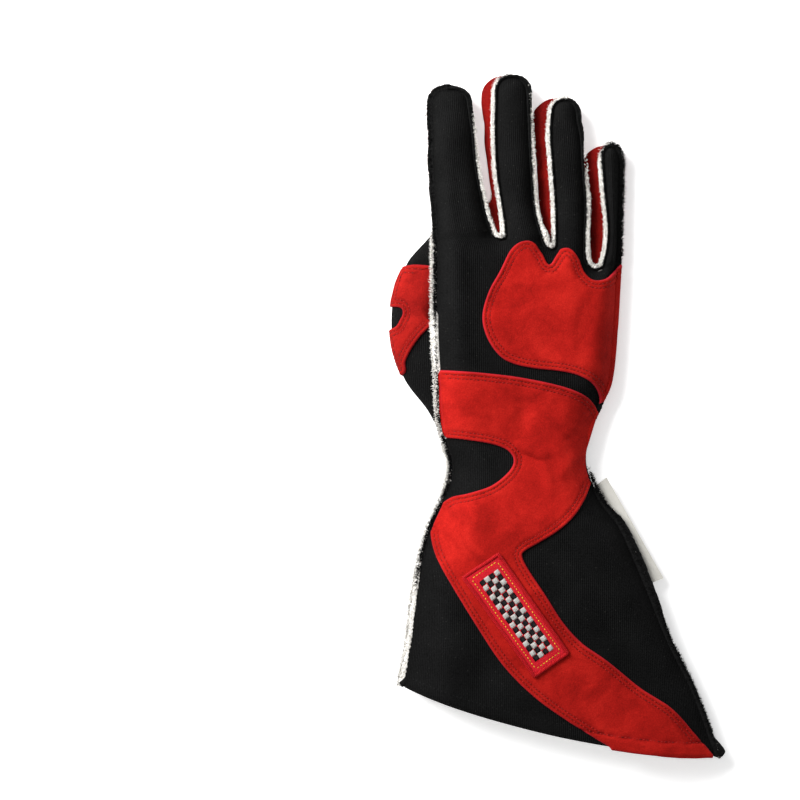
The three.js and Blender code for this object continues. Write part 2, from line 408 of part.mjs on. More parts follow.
// A whole panel with four fingers. Its outline runs from its lower left corner round to its lower right one.
function handPanel(facing, rows, stepsPerRow, fingers, seamOffset, describe) {
  const panel = new Panel(facing);
  const top = rows[rows.length - 1];
  const webPlaces = fingers.filter((f) => f.web).map((f) => f.web);
  const ends = [top.leftX, ...webPlaces.map((w) => w.x), top.rightX];
  const shares = [0];
  fingers.forEach((finger, f) => {
    for (let j = 1; j <= finger.columns; j++) {
      const x = lerp(ends[f], ends[f + 1], j / finger.columns);
      shares.push((x - top.leftX) / (top.rightX - top.leftX));
    }
  });
  const grid = addBody(panel, rows, stepsPerRow, shares, describe);
  panel.lines = grid;
  const webRow = grid[grid.length - 1];
  const corners = [0];
  for (const finger of fingers) corners.push(corners[corners.length - 1] + finger.columns);
  const anchors = [{ y: top.leftY }, ...webPlaces, { y: top.rightY }];
  fingers.forEach((finger, f) => {
    for (let j = corners[f]; j <= corners[f + 1]; j++) {
      const share = (j - corners[f]) / finger.columns;
      panel.vertices[webRow[j]].y = lerp(anchors[f].y, anchors[f + 1].y, share);
    }
    if (finger.web) panel.vertices[webRow[corners[f + 1]]].edge = finger.web.z;
  });
  const outline = grid.map((line) => line[0]);
  const tips = [];
  const webs = [];
  fingers.forEach((finger, f) => {
    const base = webRow.slice(corners[f], corners[f + 1] + 1);
    const made = addFinger(panel, finger, base, seamOffset, f === 0, f === fingers.length - 1);
    outline.push(...made.left);
    const firstOfTip = outline.length - 1;
    const lastOfTip = firstOfTip + made.tipRow.length - 1;
    tips.push({ first: firstOfTip, middle: Math.floor((firstOfTip + lastOfTip) / 2), last: lastOfTip });
    outline.push(...made.tipRow.slice(1, -1), ...made.right.reverse());
    if (finger.web) webs.push(outline.length);
    outline.push(base[base.length - 1]);
  });
  outline.push(...grid.slice(0, -1).map((line) => line[line.length - 1]).reverse());
  panel.sewn.push(outline);
  panel.outline = outline;
  panel.tips = tips;
  panel.webs = webs;
  return panel.settle();
}

const backPanel = handPanel(1, BACK_ROWS, 1, BACK_FINGERS, SEAM_HALF_GAP, (row, share) => ({
  level: lerp(row.crownLeft, row.crownRight, share),
  left: row.seamLeft + SEAM_HALF_GAP,
  right: row.seamRight + SEAM_HALF_GAP,
}));

const pucker = (folds) => (1 - Math.cos(2 * Math.PI * folds)) / 2;

const palmPanel = handPanel(-1, PALM_ROWS, 1, PALM_FINGERS, -SEAM_HALF_GAP, (row, share) => ({
  level:
    row.floorRight +
    (row.floorLeft - row.floorRight) * (1 - smoothstep(share, 0.08, FLOOR_RAMP)) +
    row.gather * pucker(PALM_FOLD_SHIFT + PALM_FOLDS * share),
  left: row.edgeLeft,
  right: row.seamRight - SEAM_HALF_GAP,
}));

function underPanel() {
  const panel = new Panel(-1);
  const shares = Array.from({ length: UNDER_COLUMNS + 1 }, (_, j) => j / UNDER_COLUMNS);
  const grid = addBody(panel, UNDER_ROWS, 1, shares, (row, share) => ({
    level: row.floor + row.gather * pucker(UNDER_FOLDS * share),
    left: row.seamLeft - SEAM_HALF_GAP,
    right: row.seamRight - SEAM_HALF_GAP,
  }));
  panel.sewn.push(grid.map((line) => line[0]), grid.map((line) => line[line.length - 1]));
  return panel.settle();
}

// The back of the thumb is a shell that wraps round, so its heights come straight from its rows.
function thumbBackPanel() {
  const panel = new Panel(-1);
  panel.lines = [];
  for (const row of THUMB_BACK_ROWS) {
    const spread = row.rightX - row.leftX;
    const section = new THREE.SplineCurve([
      new THREE.Vector2(row.rightX, row.rightZ),
      new THREE.Vector2(row.rightX - 0.17 * spread, row.shoulderZ),
      new THREE.Vector2(row.rightX - 0.5 * spread, row.crownZ),
      new THREE.Vector2(row.leftX + 0.14 * spread, lerp(row.sideZ, row.crownZ, 0.66)),
      new THREE.Vector2(row.leftX, row.sideZ),
      new THREE.Vector2(lerp(row.leftX, row.underX, 0.4), lerp(row.underZ, row.sideZ, 0.2)),
      new THREE.Vector2(row.underX, row.underZ),
    ]);
    const line = section.getSpacedPoints(THUMB_BACK_COLUMNS).map((p) => {
      const i = panel.add(p.x, row.y, 0, 1);
      panel.vertices[i].z = p.y;
      return i;
    });
    if (panel.lines.length) panel.join(panel.lines[panel.lines.length - 1], line);
    panel.lines.push(line);
  }
  return panel;
}

function thumbFrontPanel() {
  const panel = new Panel(-1);
  const shares = Array.from({ length: THUMB_FRONT_COLUMNS + 1 }, (_, j) => j / THUMB_FRONT_COLUMNS);
  const grid = addBody(panel, THUMB_FRONT_ROWS, 1, shares, (row) => ({
    level: row.floor,
    left: row.edgeLeft,
    right: row.edgeRight,
  }));
  panel.lines = grid;
  panel.sewn.push(grid.map((line) => line[0]), grid.map((line) => line[line.length - 1]));
  return panel.settle();
}

const gauntletUnder = underPanel();
const thumbBack = thumbBackPanel();
const thumbFront = thumbFrontPanel();

// The points of a panel's sewn outline from one to another.
function runAlong(panel, from, to) {
  return panel.outline.slice(from, to + 1).map((i) => new THREE.Vector3(panel.vertices[i].x, panel.vertices[i].y, panel.vertices[i].z));
}

// The same line with evenly spaced points.
function spaced(points, steps) {
  const path = new THREE.CurvePath();
  for (let i = 0; i + 1 < points.length; i++) path.add(new THREE.LineCurve3(points[i], points[i + 1]));
  return path.getSpacedPoints(steps);
}

// Unit vectors in plan that point to the left of a path.
function leftOf(path) {
  return path.map((_, i) => {
    const along = path[Math.min(i + 1, path.length - 1)].clone().sub(path[Math.max(i - 1, 0)]);
    return new THREE.Vector3(-along.y, along.x, 0).normalize();
  });
}

// A strip with a rectangular section, between two matching lines of points.
function strip(near, far, thick) {
  const count = near.length;
  const middle = [...near, ...far];
  const faces = [];
  for (let i = 0; i + 1 < count; i++) {
    faces.push([i, i + 1, count + i + 1], [i, count + i + 1, count + i]);
  }
  const shifted = (dz) => middle.map((p) => p.clone().add(new THREE.Vector3(0, 0, dz)));
  const [a, b, c] = faces[0].map((i) => middle[i]);
  const up = b.clone().sub(a).cross(c.clone().sub(a)).z > 0;
  return closedBetween(shifted((up ? -0.5 : 0.5) * thick), shifted((up ? 0.5 : -0.5) * thick), faces);
}

// A seam that stands out from a path, to its left, with its middle shifted up or down.
function seamOn(path, width, lift) {
  const sideways = leftOf(path);
  const line = (out) => path.map((p, i) => p.clone().addScaledVector(sideways[i], out).setZ(p.z + lift));
  return strip(line(LAYER_GAP), line(LAYER_GAP + width), SEAM_THICK);
}

// A seam that stands down from a path, with its width upright.
function standingSeam(path, thick, top, bottom) {
  const sideways = leftOf(path);
  const line = (out, drop) => path.map((p, i) => p.clone().addScaledVector(sideways[i], out).setZ(drop(p.z)));
  const count = path.length;
  const faces = [];
  for (let i = 0; i + 1 < count; i++) faces.push([i, count + i + 1, i + 1], [i, count + i, count + i + 1]);
  const side = (out) => [...line(out, top), ...line(out, bottom)];
  return closedBetween(side(thick / 2), side(-thick / 2), faces);
}

// Where a line of points crosses a given y.
function crossingX(points, y) {
  const i = Math.max(1, points.findIndex((p, k) => p.y >= y || k === points.length - 1));
  const [a, b] = [points[i - 1], points[i]];
  return lerp(a.x, b.x, (y - a.y) / (b.y - a.y));
}

// The red wall between two fingers: it follows the slit's upper edge and its lower edge, and leans between.
function fingerWall(slit) {
  const half = 10; // sections from the web to either fingertip
  const steps = 2 * half;
  const [upper, lower] = [backPanel, palmPanel].map((panel) => {
    const from = panel.tips[slit].last + 2; // clear of the tips, where the two edges run together
    const to = panel.tips[slit + 1].first - 2;
    const down = spaced(runAlong(panel, from, panel.webs[slit]), half);
    return [...down, ...spaced(runAlong(panel, panel.webs[slit], to), half).slice(1)];
  });
  const edgeRoom = 2; // below the back's edge and above the palm's
  const top = upper.map((p) => p.clone().setZ(p.z - edgeRoom));
  const bottom = lower.map((p) => p.clone().setZ(p.z + edgeRoom));
  const outward = leftOf(upper);
  const middle = top.map((p, i) => p.clone().lerp(bottom[i], 0.5).addScaledVector(outward[i], 0.5));
  const outside = [top, middle, bottom];
  const inside = outside.map((line) => line.map((p, i) => p.clone().addScaledVector(outward[i], -SUEDE_WALL)));
  const faces = [];
  const at = (line, i) => line * (steps + 1) + i;
  for (let line = 0; line < 2; line++) {
    for (let i = 0; i < steps; i++) {
      faces.push([at(line, i), at(line + 1, i + 1), at(line, i + 1)], [at(line, i), at(line + 1, i), at(line + 1, i + 1)]);
    }
  }
  return closedBetween(outside.flat(), inside.flat(), faces);
}

function manifoldOf(geometry) {
  const bare = geometry.index ? geometry.toNonIndexed() : geometry.clone();
  bare.deleteAttribute("normal");
  bare.deleteAttribute("uv");
  const merged = mergeVertices(bare, 1e-4);
  return new wasm.Manifold(
    new wasm.Mesh({
      numProp: 3,
      vertProperties: new Float32Array(merged.attributes.position.array),
      triVerts: new Uint32Array(merged.index.array),
    }),
  );
}

function geometryOf(solid) {
  const mesh = solid.getMesh();
  const geometry = new THREE.BufferGeometry();
  geometry.setAttribute("position", new THREE.BufferAttribute(new Float32Array(mesh.vertProperties), 3));
  geometry.setIndex(new THREE.BufferAttribute(new Uint32Array(mesh.triVerts), 1));
  return geometry;
}

// Points round an outline made of smooth runs.
function outlinePoints(runs) {
  return runs.flatMap((run) => {
    const curve = new THREE.SplineCurve(run.map(([x, y]) => new THREE.Vector2(x, y)));
    return curve.getSpacedPoints(Math.max(1, Math.round(curve.getLength() / OUTLINE_STEP))).slice(0, -1);
  });
}

// A layer on a panel, cut to an outline in plan, from one height to another.
function cutLayer(panel, offset, thick, points, fromZ, toZ) {
  const prism = new THREE.ExtrudeGeometry(new THREE.Shape(points), { depth: toZ - fromZ, bevelEnabled: false });
  prism.translate(0, 0, fromZ);
  return geometryOf(manifoldOf(panel.solid(offset, offset + thick)).intersect(manifoldOf(prism)));
}

function patchPoints() {
  const halfWidth = PATCH.width / 2;
  const halfLength = PATCH.length / 2;
  const turn = THREE.MathUtils.degToRad(PATCH.turn);
  const cut = PATCH.corner;
  const corners = [
    [halfWidth - cut, halfLength], [-halfWidth + cut, halfLength], [-halfWidth, halfLength - cut], [-halfWidth, -halfLength + cut],
    [-halfWidth + cut, -halfLength], [halfWidth - cut, -halfLength], [halfWidth, -halfLength + cut], [halfWidth, halfLength - cut],
  ];
  const place = ([x, y]) => new THREE.Vector2(x, y).rotateAround(new THREE.Vector2(), turn).add(new THREE.Vector2(PATCH.x, PATCH.y));
  return corners.map(place);
}

// The label lies under the side seam at its inner edge and droops towards its outer one.
function sideLabel() {
  const near = [];
  const far = [];
  const rightEdge = BACK_ROWS.map((row) => new THREE.Vector3(row.rightX, row.rightY, row.seamRight)).reverse();
  const seam = new THREE.CatmullRomCurve3(rightEdge, false, "centripetal").getSpacedPoints(200);
  const below = SEAM_THICK / 2 + LAYER_GAP + LABEL_WALL / 2;
  for (let i = 0; i <= LABEL.steps; i++) {
    const share = i / LABEL.steps;
    const y = lerp(LABEL.innerStartY, LABEL.innerEndY, share);
    const beside = seam.reduce((best, p) => (Math.abs(p.y - y) < Math.abs(best.y - y) ? p : best));
    const z = beside.z - below;
    near.push(new THREE.Vector3(beside.x + 1.5, y, z));
    far.push(
      new THREE.Vector3(
        lerp(LABEL.outerStart[0], LABEL.outerEnd[0], share),
        lerp(LABEL.outerStart[1], LABEL.outerEnd[1], share),
        z - LABEL.droop,
      ),
    );
  }
  return strip(near, far, LABEL_WALL);
}

const glove = new THREE.Group();
function addPiece(name, geometry, material) {
  const mesh = new THREE.Mesh(geometry, material);
  mesh.name = name;
  glove.add(mesh);
}

addPiece("back_panel", backPanel.solid(-KNIT_WALL, 0), knit);
addPiece("palm_panel", palmPanel.solid(-SUEDE_WALL, 0), redSuede);
addPiece("gauntlet_under_panel", gauntletUnder.solid(-KNIT_WALL, 0), knit);
addPiece("thumb_back", thumbBack.solid(-KNIT_WALL, 0), knit);
addPiece("thumb_front", thumbFront.solid(-SUEDE_WALL, 0), redSuede);
for (let slit = 0; slit < 3; slit++) {
  addPiece(`finger_wall_${slit + 1}`, fingerWall(slit), redSuede);
}

const overlayOffset = LAYER_GAP;
addPiece("knuckle_overlay", cutLayer(backPanel, overlayOffset, SUEDE_WALL, outlinePoints(KNUCKLE_OUTLINE), 0, 60), redSuede);
addPiece("gauntlet_strap", cutLayer(backPanel, overlayOffset, SUEDE_WALL, outlinePoints(STRAP_OUTLINE), 0, 60), redSuede);
addPiece("thumb_overlay", cutLayer(thumbBack, overlayOffset, SUEDE_WALL, outlinePoints(THUMB_OVERLAY_OUTLINE), 6, 60), redSuede);
addPiece("palm_overlay", cutLayer(palmPanel, overlayOffset, SUEDE_WALL, outlinePoints(PALM_OVERLAY_OUTLINE), -5, 60), blackSuede);
addPiece("strap_patch", cutLayer(backPanel, 2 * LAYER_GAP + SUEDE_WALL, PATCH_WALL, patchPoints(), 0, 60), wovenRed);
addPiece("side_label", sideLabel(), labelTape);

const tipOf = (panel, finger) => panel.tips[finger].middle;
// A seam's path from one outline point to another, stopping just short of those that are fingertips.
function seamPath(panel, from, to, stopsFirst, stopsLast) {
  const path = runAlong(panel, from, to);
  const last = path.length - 1;
  if (stopsFirst) path[0].lerp(path[1], TIP_STOP);
  if (stopsLast) path[last].lerp(path[last - 1], TIP_STOP);
  return path;
}
const lastOnOutline = backPanel.outline.length - 1;
addPiece("side_seam_thumb", seamOn(seamPath(backPanel, 0, tipOf(backPanel, 0), false, true), SIDE_SEAM_WIDTH, -SEAM_HALF_GAP), fleece);
addPiece("side_seam_little", seamOn(seamPath(backPanel, tipOf(backPanel, 3), lastOnOutline, true, false), SIDE_SEAM_WIDTH, -SEAM_HALF_GAP), fleece);
for (let slit = 0; slit < 3; slit++) {
  const upper = seamPath(backPanel, tipOf(backPanel, slit), tipOf(backPanel, slit + 1), true, true);
  const lower = runAlong(palmPanel, tipOf(palmPanel, slit) + 2, tipOf(palmPanel, slit + 1) - 2);
  addPiece(`finger_seam_back_${slit + 1}`, seamOn(upper, FINGER_SEAM_WIDTH, 0.5), fleece);
  addPiece(`finger_seam_palm_${slit + 1}`, seamOn(lower, PALM_SEAM_WIDTH, -0.3), fleece);
}


// The seam round the thumb's underside, between its back and its front, and the one at the root of the thumb
const thumbBackEdge = thumbBack.lines.slice(1, -1).map((line) => thumbBack.vertices[line[line.length - 1]]);
const thumbFrontEdge = thumbFront.lines.map((line) => thumbFront.vertices[line[0]]);
const thumbSeamPath = thumbBackEdge.map((v) => new THREE.Vector3((v.x + crossingX(thumbFrontEdge, v.y)) / 2, v.y, v.z));
const rootSeamPath = palmPanel.lines.slice(1, 6).map((line) => palmPanel.vertices[line[0]]).map((v) => new THREE.Vector3(v.x + 1.6, v.y - 0.4, v.z));
addPiece("thumb_seam", standingSeam(thumbSeamPath, THUMB_SEAM_THICK, (z) => z + 0.9, () => 0.4), fleece);
addPiece("thumb_root_seam", standingSeam(rootSeamPath, ROOT_SEAM_THICK, (z) => z - 1.8, (z) => z - 1.8 - ROOT_SEAM_WIDTH), fleece);

// The origin goes on the surface, under the middle of the outline.
const extent = new THREE.Box3().setFromObject(glove);
const middle = extent.getCenter(new THREE.Vector3());
glove.children.forEach((mesh) => mesh.geometry.translate(-middle.x, -middle.y, -extent.min.z));

export default glove;
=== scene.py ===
"""Dress a right-hand racing gauntlet glove that lies palm down on a pale surface.

Lengths in the tables are millimetres from the glove's own centre marks, and are turned to metres only where a
mesh is made. The fingers point along +Y and the thumb lies at -X.
"""

from __future__ import annotations

import logging
import math
from collections.abc import Callable, Sequence
from dataclasses import dataclass, field
from enum import Enum
from functools import cache, partial

import bpy
import numpy as np
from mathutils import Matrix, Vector
from mathutils.bvhtree import BVHTree
from mathutils.geometry import delaunay_2d_cdt

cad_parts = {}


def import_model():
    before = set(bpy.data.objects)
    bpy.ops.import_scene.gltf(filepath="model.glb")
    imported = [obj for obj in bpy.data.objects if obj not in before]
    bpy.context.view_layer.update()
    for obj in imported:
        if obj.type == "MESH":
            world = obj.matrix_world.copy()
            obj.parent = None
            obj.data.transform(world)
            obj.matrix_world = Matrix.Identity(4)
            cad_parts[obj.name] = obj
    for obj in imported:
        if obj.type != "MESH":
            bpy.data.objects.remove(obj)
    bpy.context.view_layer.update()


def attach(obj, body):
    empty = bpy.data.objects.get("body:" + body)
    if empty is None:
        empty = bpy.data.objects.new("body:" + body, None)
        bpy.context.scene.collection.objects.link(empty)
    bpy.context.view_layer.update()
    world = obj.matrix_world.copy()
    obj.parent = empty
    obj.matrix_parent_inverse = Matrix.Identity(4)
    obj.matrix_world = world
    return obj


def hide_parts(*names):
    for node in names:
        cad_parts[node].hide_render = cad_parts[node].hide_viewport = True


Array = np.ndarray
Value = np.ndarray | float
Piece = bpy.types.Object
Tree = bpy.types.NodeTree
Socket = bpy.types.NodeSocket
Row = dict[str, float]
Runs = list[list[tuple[float, float]]]
Profile = tuple[tuple[float, float], ...]
Describe = Callable[[Row, Array], tuple]
Lift = Callable[[Array], tuple[Array, Array]]
Threads = tuple[Array, Array, Array]
Look = tuple[object, dict, dict]
Add = Callable[..., bpy.types.Node]

LOG = logging.getLogger("glove")
MM = 0.001
CENTRE_SHIFT = np.array([1.2225, -2.6767, 0.006])  # moves the tables' marks to the middle of the outline
MIDDLE_X = -18.0  # the hand's middle line, which parts the thumb side from the little finger side
FAR = 1e3  # the way to the mouth of a point that isn't near it
SUEDE_WALL = 1.2
LAYER_GAP = 0.3
SEAM_HALF_GAP = 1.9
EDGE_ROUNDING = 2.2
HEM_STITCH = 7.6  # from the mouth to the hem's stitches
HEM_SLOPE = (9.0, 6.5)  # from the mouth to where the hem's fold starts to rise and where it is full
HEM_RISE = 0.35  # how much thicker the hem is
HEM_GROOVE = 0.45  # how deep its stitches sink
HEM_ROUNDING = 1.6  # the radius of its rim


def table(columns: str, rows: Sequence[Sequence[float]]) -> list[Row]:
    """Name the columns of a table.

    Args:
        columns: The names, with spaces between them.
        rows: One sequence of numbers for each section of cloth.

    Returns:
        One dictionary for each row.
    """
    names = columns.split()
    return [dict(zip(names, map(float, row), strict=True)) for row in rows]


# The back of the glove from the mouth of the gauntlet to the webs of the fingers
BACK_ROWS = table(
    "left_x left_y right_x right_y sag seam_left seam_right crown_left crown_right turn",
    [
        (-89.5, -156.5, 91.5, -196, 8, 9, 8, 24, 20, 40),
        (-84.5, -128.5, 79, -161.5, 6, 10, 9, 27, 24, 40),
        (-81, -99.5, 63, -128.5, 4, 11, 10, 29, 27, 36),
        (-75, -70.5, 50, -96.5, 3, 11.5, 10.5, 30, 28, 30),
        (-67, -51, 36, -64.5, 2, 11.5, 10, 29, 27, 26),
        (-62, -38.5, 24, -48, 1, 11.5, 10, 27, 25, 22),
        (-60.5, -26, 16, -28.5, 0, 12, 10, 26, 24, 20),
        (-64.5, -11.5, 17, -8, 0, 13, 10, 27, 23, 20),
        (-67, 2, 22.5, 6.5, 0, 14.5, 9.5, 29, 23, 20),
        (-68, 22.5, 29, 22.5, 0, 17, 9, 32, 23, 18),
        (-69.5, 51.5, 32, 51.5, 0, 18, 8.5, 33, 23, 16),
        (-69.5, 80.5, 33.5, 77.5, 0, 18, 8, 33, 22.5, 14),
        (-69.5, 103, 34.5, 91, 0, 17, 7.5, 31, 21, 12),
    ],
)
FINGER_COLUMNS = "left_x left_y right_x right_y seam slit_seam crown"
PALM_ROWS = table(
    "left_x left_y right_x right_y edge_left seam_right floor_left floor_right turn gather",
    [
        (-48.5, -9.4, 17.4, -7, 4.5, 10, 2.2, 2.2, 9, 3.6),
        (-52, 3, 21.8, 5.5, 4.8, 9.6, 1.8, 1.8, 11, 2),
        (-48.5, 23.5, 28.8, 23.5, 4.5, 9, 1.5, 1.5, 12, 0.3),
        (-40, 42.5, 31, 42.5, 4.5, 8.6, 1.5, 1.5, 12, 0),
        (-39, 60, 32.4, 60, 7, 8.4, 5.5, 1.5, 12, 0),
        (-46.5, 77.5, 33.3, 75, 13, 8.1, 13, 1.5, 12, 0),
        (-58, 88, 34, 84, 15.4, 7.8, 16.2, 1.5, 12, 0),
        (-69, 96, 34.4, 91, 15.2, 7.6, 16.2, 1.5, 12, 0),
        (-69.8, 106, 34.8, 98, 14.9, 7.5, 16, 1.5, 11, 0),
        (-70, 118, 35, 104, 13.2, 7.4, 14.2, 1.5, 10, 0),
    ],
)
UNDER_ROWS = table(
    "left_x left_y right_x right_y sag seam_left seam_right turn floor gather",
    [
        (-89.5, -156.5, 91.5, -196, 7, 9, 8, 34, 0, 0),
        (-84.5, -128.5, 79, -161.5, 6, 10, 9, 34, 0, 0.2),
        (-81, -99.5, 63, -128.5, 4, 11, 10, 30, 0, 0.8),
        (-75, -70.5, 50, -96.5, 3, 11.5, 10.5, 24, 0, 2),
        (-67, -51, 36, -64.5, 2, 11.5, 10, 18, 0, 3.4),
        (-62, -38.5, 24, -48, 1, 11.5, 10, 14, 0.4, 4.2),
        (-60.5, -26, 16, -28.5, 0, 12, 10, 12, 1, 4.6),
        (-64, -10.3, 17, -7.8, 0, 12.6, 10, 10, 2.2, 3.6),
    ],
)
UNDER_FOLDS = 8.0
PALM_FOLDS = 6.5
PALM_FOLD_SHIFT = 1.53
FLOOR_RAMP = (0.08, 0.5)  # shares of the palm's width between which its lifted side comes down

THUMB_BACK_ROWS = table(
    "y right_x right_z shoulder_z crown_z left_x side_z under_x under_z",
    [
        (-14.5, -62, 10.4, 10, 9.4, -62.8, 7.4, -52, 5),
        (-8.5, -65.5, 11, 10.8, 10.3, -68, 6.5, -51.5, 3),
        (5, -68.3, 13.2, 13, 12.5, -75.5, 7, -61, 2.2),
        (22, -69.2, 15.2, 15, 14, -88.5, 7.5, -74.5, 2.2),
        (42, -70.2, 15.6, 15.2, 14.2, -95.5, 7.5, -86, 2.2),
        (62, -70.5, 15.6, 15, 14, -96.5, 7.5, -88.5, 2.2),
        (77, -70.3, 15.4, 14.8, 13.8, -93.5, 7, -86.5, 2.2),
        (84, -69.4, 14.7, 14.4, 13.7, -91, 7, -84, 2.2),
        (88.5, -61, 14.2, 14.2, 13.7, -88.5, 7, -82, 2.2),
        (94, -54, 8.4, 12.4, 13.7, -85.2, 7, -79, 2.2),
        (103, -53.6, 7.4, 10.8, 12.6, -77, 6.5, -72, 2.4),
        (109, -56, 6.8, 9, 10.2, -71.8, 5.8, -68.4, 2.8),
        (113.2, -60.5, 5.8, 6.4, 6.8, -67.8, 5.4, -66.5, 4.4),
    ],
)
THUMB_FRONT_ROWS = table(
    "left_x left_y right_x right_y edge_left edge_right floor turn",
    [
        (-52.2, -5, -50.8, -5, 3.6, 4.4, 3.6, 4),
        (-62.6, 10, -52.8, 10, 2.6, 4.4, 1, 6),
        (-71.8, 23, -49.8, 23, 2.4, 4.4, 0, 8),
        (-82.6, 42.5, -41.3, 42.5, 2.2, 4.6, 0, 9),
        (-85, 61, -40.3, 60.5, 2.2, 6.6, 0, 9),
        (-82.8, 77, -47.4, 77.5, 2.2, 11.6, 0, 9),
        (-79.4, 86, -52.8, 85, 2.2, 12, 0, 9),
        (-75.8, 94, -54.8, 93, 2.2, 5.4, 0, 9),
        (-69.4, 103, -55.4, 103, 2.4, 4.4, 0, 7),
        (-66.4, 108.5, -57.8, 108.5, 2.6, 3.8, 0.8, 6),
        (-64.8, 112, -61, 112, 3, 3.4, 2.8, 6),
    ],
)


@dataclass(frozen=True)
class Finger:
    """One finger of a panel: its columns, its web with the next finger, its tip and its sections."""

    columns: int
    web: tuple[float, float, float] | None
    tip: tuple[float, float, float]
    turn: float
    rows: list[Row]


BACK_FINGERS = [
    Finger(6, (-33.5, 103, 21.5), (-62.5, 191.5, 9), 10, table(FINGER_COLUMNS, [  # index
        (-70, 108, -39.2, 108, 16.5, 20.5, 30),
        (-70, 116.5, -42.2, 116.5, 15.3, 18.6, 28.5),
        (-71, 129.5, -45, 129.5, 13, 16, 25),
        (-72, 147, -48, 147, 10.5, 13.8, 21),
        (-72.5, 167.5, -50, 167.5, 8.8, 12.6, 18),
        (-73, 182, -52, 182, 8, 11.6, 16.5),
    ])),
    Finger(5, (-4, 97.5, 18), (-26.5, 198.5, 9), 9, table(FINGER_COLUMNS, [  # middle
        (-30, 106, -10, 106, 9, 18.4, 25.5),
        (-30.5, 114, -12.5, 114, 9, 16, 23.5),
        (-32.3, 126.5, -14.5, 126.5, 9, 13.2, 20.5),
        (-34.8, 144, -15.5, 144, 9, 12.6, 18.5),
        (-35.8, 164.5, -16.6, 164.5, 9, 12.5, 17.2),
        (-35.4, 187.5, -17.5, 187.5, 9, 11.6, 16.5),
    ])),
    Finger(4, (21.5, 86, 15.5), (4.5, 185, 9), 8, table(FINGER_COLUMNS, [  # ring
        (-0.8, 101, 15, 95.5, 9, 16, 22),
        (-0.6, 110.5, 15.2, 106.5, 9, 14.4, 20.6),
        (-1, 126.5, 16, 124, 9, 12.6, 18.6),
        (-2.5, 147, 14.5, 144, 9, 12.4, 17.4),
        (-3.8, 165, 13.5, 162.5, 9, 12, 16.8),
        (-3, 175.5, 11.5, 173, 9, 11.5, 16),
    ])),
    Finger(3, None, (31, 158, 9), 7, table(FINGER_COLUMNS, [  # little
        (27, 90.5, 34.8, 97.5, 7.5, 14.2, 20),
        (29.3, 100.5, 35, 106, 7.5, 12.8, 19),
        (29.6, 113.5, 35.3, 116.5, 7.2, 12.6, 18),
        (27.8, 132, 36, 132.5, 7, 12.2, 17),
        (26.6, 148, 36.2, 148, 7, 11.6, 16.2),
    ])),
]
PALM_FINGERS = [
    Finger(6, (-40.5, 125, 12), (-62, 191, 5.8), 9, table(FINGER_COLUMNS, [  # index
        (-71, 131, -44.6, 131.5, 12.8, 11, 9),
        (-72, 147, -46.5, 147, 10.5, 7.6, 4.5),
        (-72.5, 167.5, -48.8, 167.5, 8.8, 5.2, 1.2),
        (-73, 182, -51, 182, 8, 5, 0),
    ])),
    Finger(6, (-12, 115.5, 6), (-29, 198, 5.8), 9, table(FINGER_COLUMNS, [  # middle
        (-37.6, 131.5, -13.8, 124, 9, 7.7, 1.7),
        (-39.5, 147, -14.8, 144, 9, 5, 0.5),
        (-41, 165, -15.8, 164.5, 9, 4.2, 0),
        (-40.5, 187, -17.3, 187, 9, 5, 0),
    ])),
    Finger(6, (18.5, 104, 5.2), (2, 184.5, 5.8), 9, table(FINGER_COLUMNS, [  # ring
        (-9.6, 124, 16, 114, 9, 5.2, 1.7),
        (-10.4, 144, 15.2, 138, 9, 4.2, 0),
        (-11.6, 163, 13.6, 161, 9, 4.2, 0),
        (-10, 175, 11.8, 173, 9, 5, 0),
    ])),
    Finger(5, None, (28.5, 157.5, 5.8), 8, table(FINGER_COLUMNS, [  # little
        (20.6, 114, 35.3, 116.5, 7.2, 5, 1.7),
        (19.4, 132, 36, 132.5, 7, 4.2, 0),
        (19, 147.5, 36.2, 148, 7, 5, 0),
    ])),
]

FOLD_COLUMNS = "x0 y0 x1 y1 height width"
BACK_FOLDS = table(FOLD_COLUMNS, [
    (-24, -15, -8.5, -21.5, 2.2, 1.9),
    (-23, -19.5, -9, -25, -1.5, 2.4),
    (-10, -20, -4.5, -42, 1.4, 3.4),
    (-20, 17, -22, -12, -1.4, 6.0),
    (1, -32, 17, -14, 1.5, 3.4),
    (5, -12, 16, -4, -1.1, 3.0),
    (-61, -17, -62, -40, 1.8, 2.6),
    (-55, -16, -50, -36, -1.5, 3.6),
    (-46, -20, -38, -32, 1.0, 3.0),
    (-63, -50, -44, -60, 1.5, 3.6),
    (-66, -63, -50, -84, -1.3, 5.0),
    (-69, -99, -63, -150, 1.8, 8.0),
    (-46, -120, -44, -158, -2.0, 8.0),
    (25, -104, 47, -162, -2.0, 9.0),
    (2, -85, 20, -120, 1.5, 7.0),
    (4, -136, 52, -184, -1.6, 7.0),
    (-58, 30, -60, 98, 1.4, 6.0),
    (-46, 60, -50, 104, -1.2, 6.0),
    (14, 30, 20, 74, -1.4, 7.0),
    (-64, 112, -60, 176, 0.9, 5.0),
])

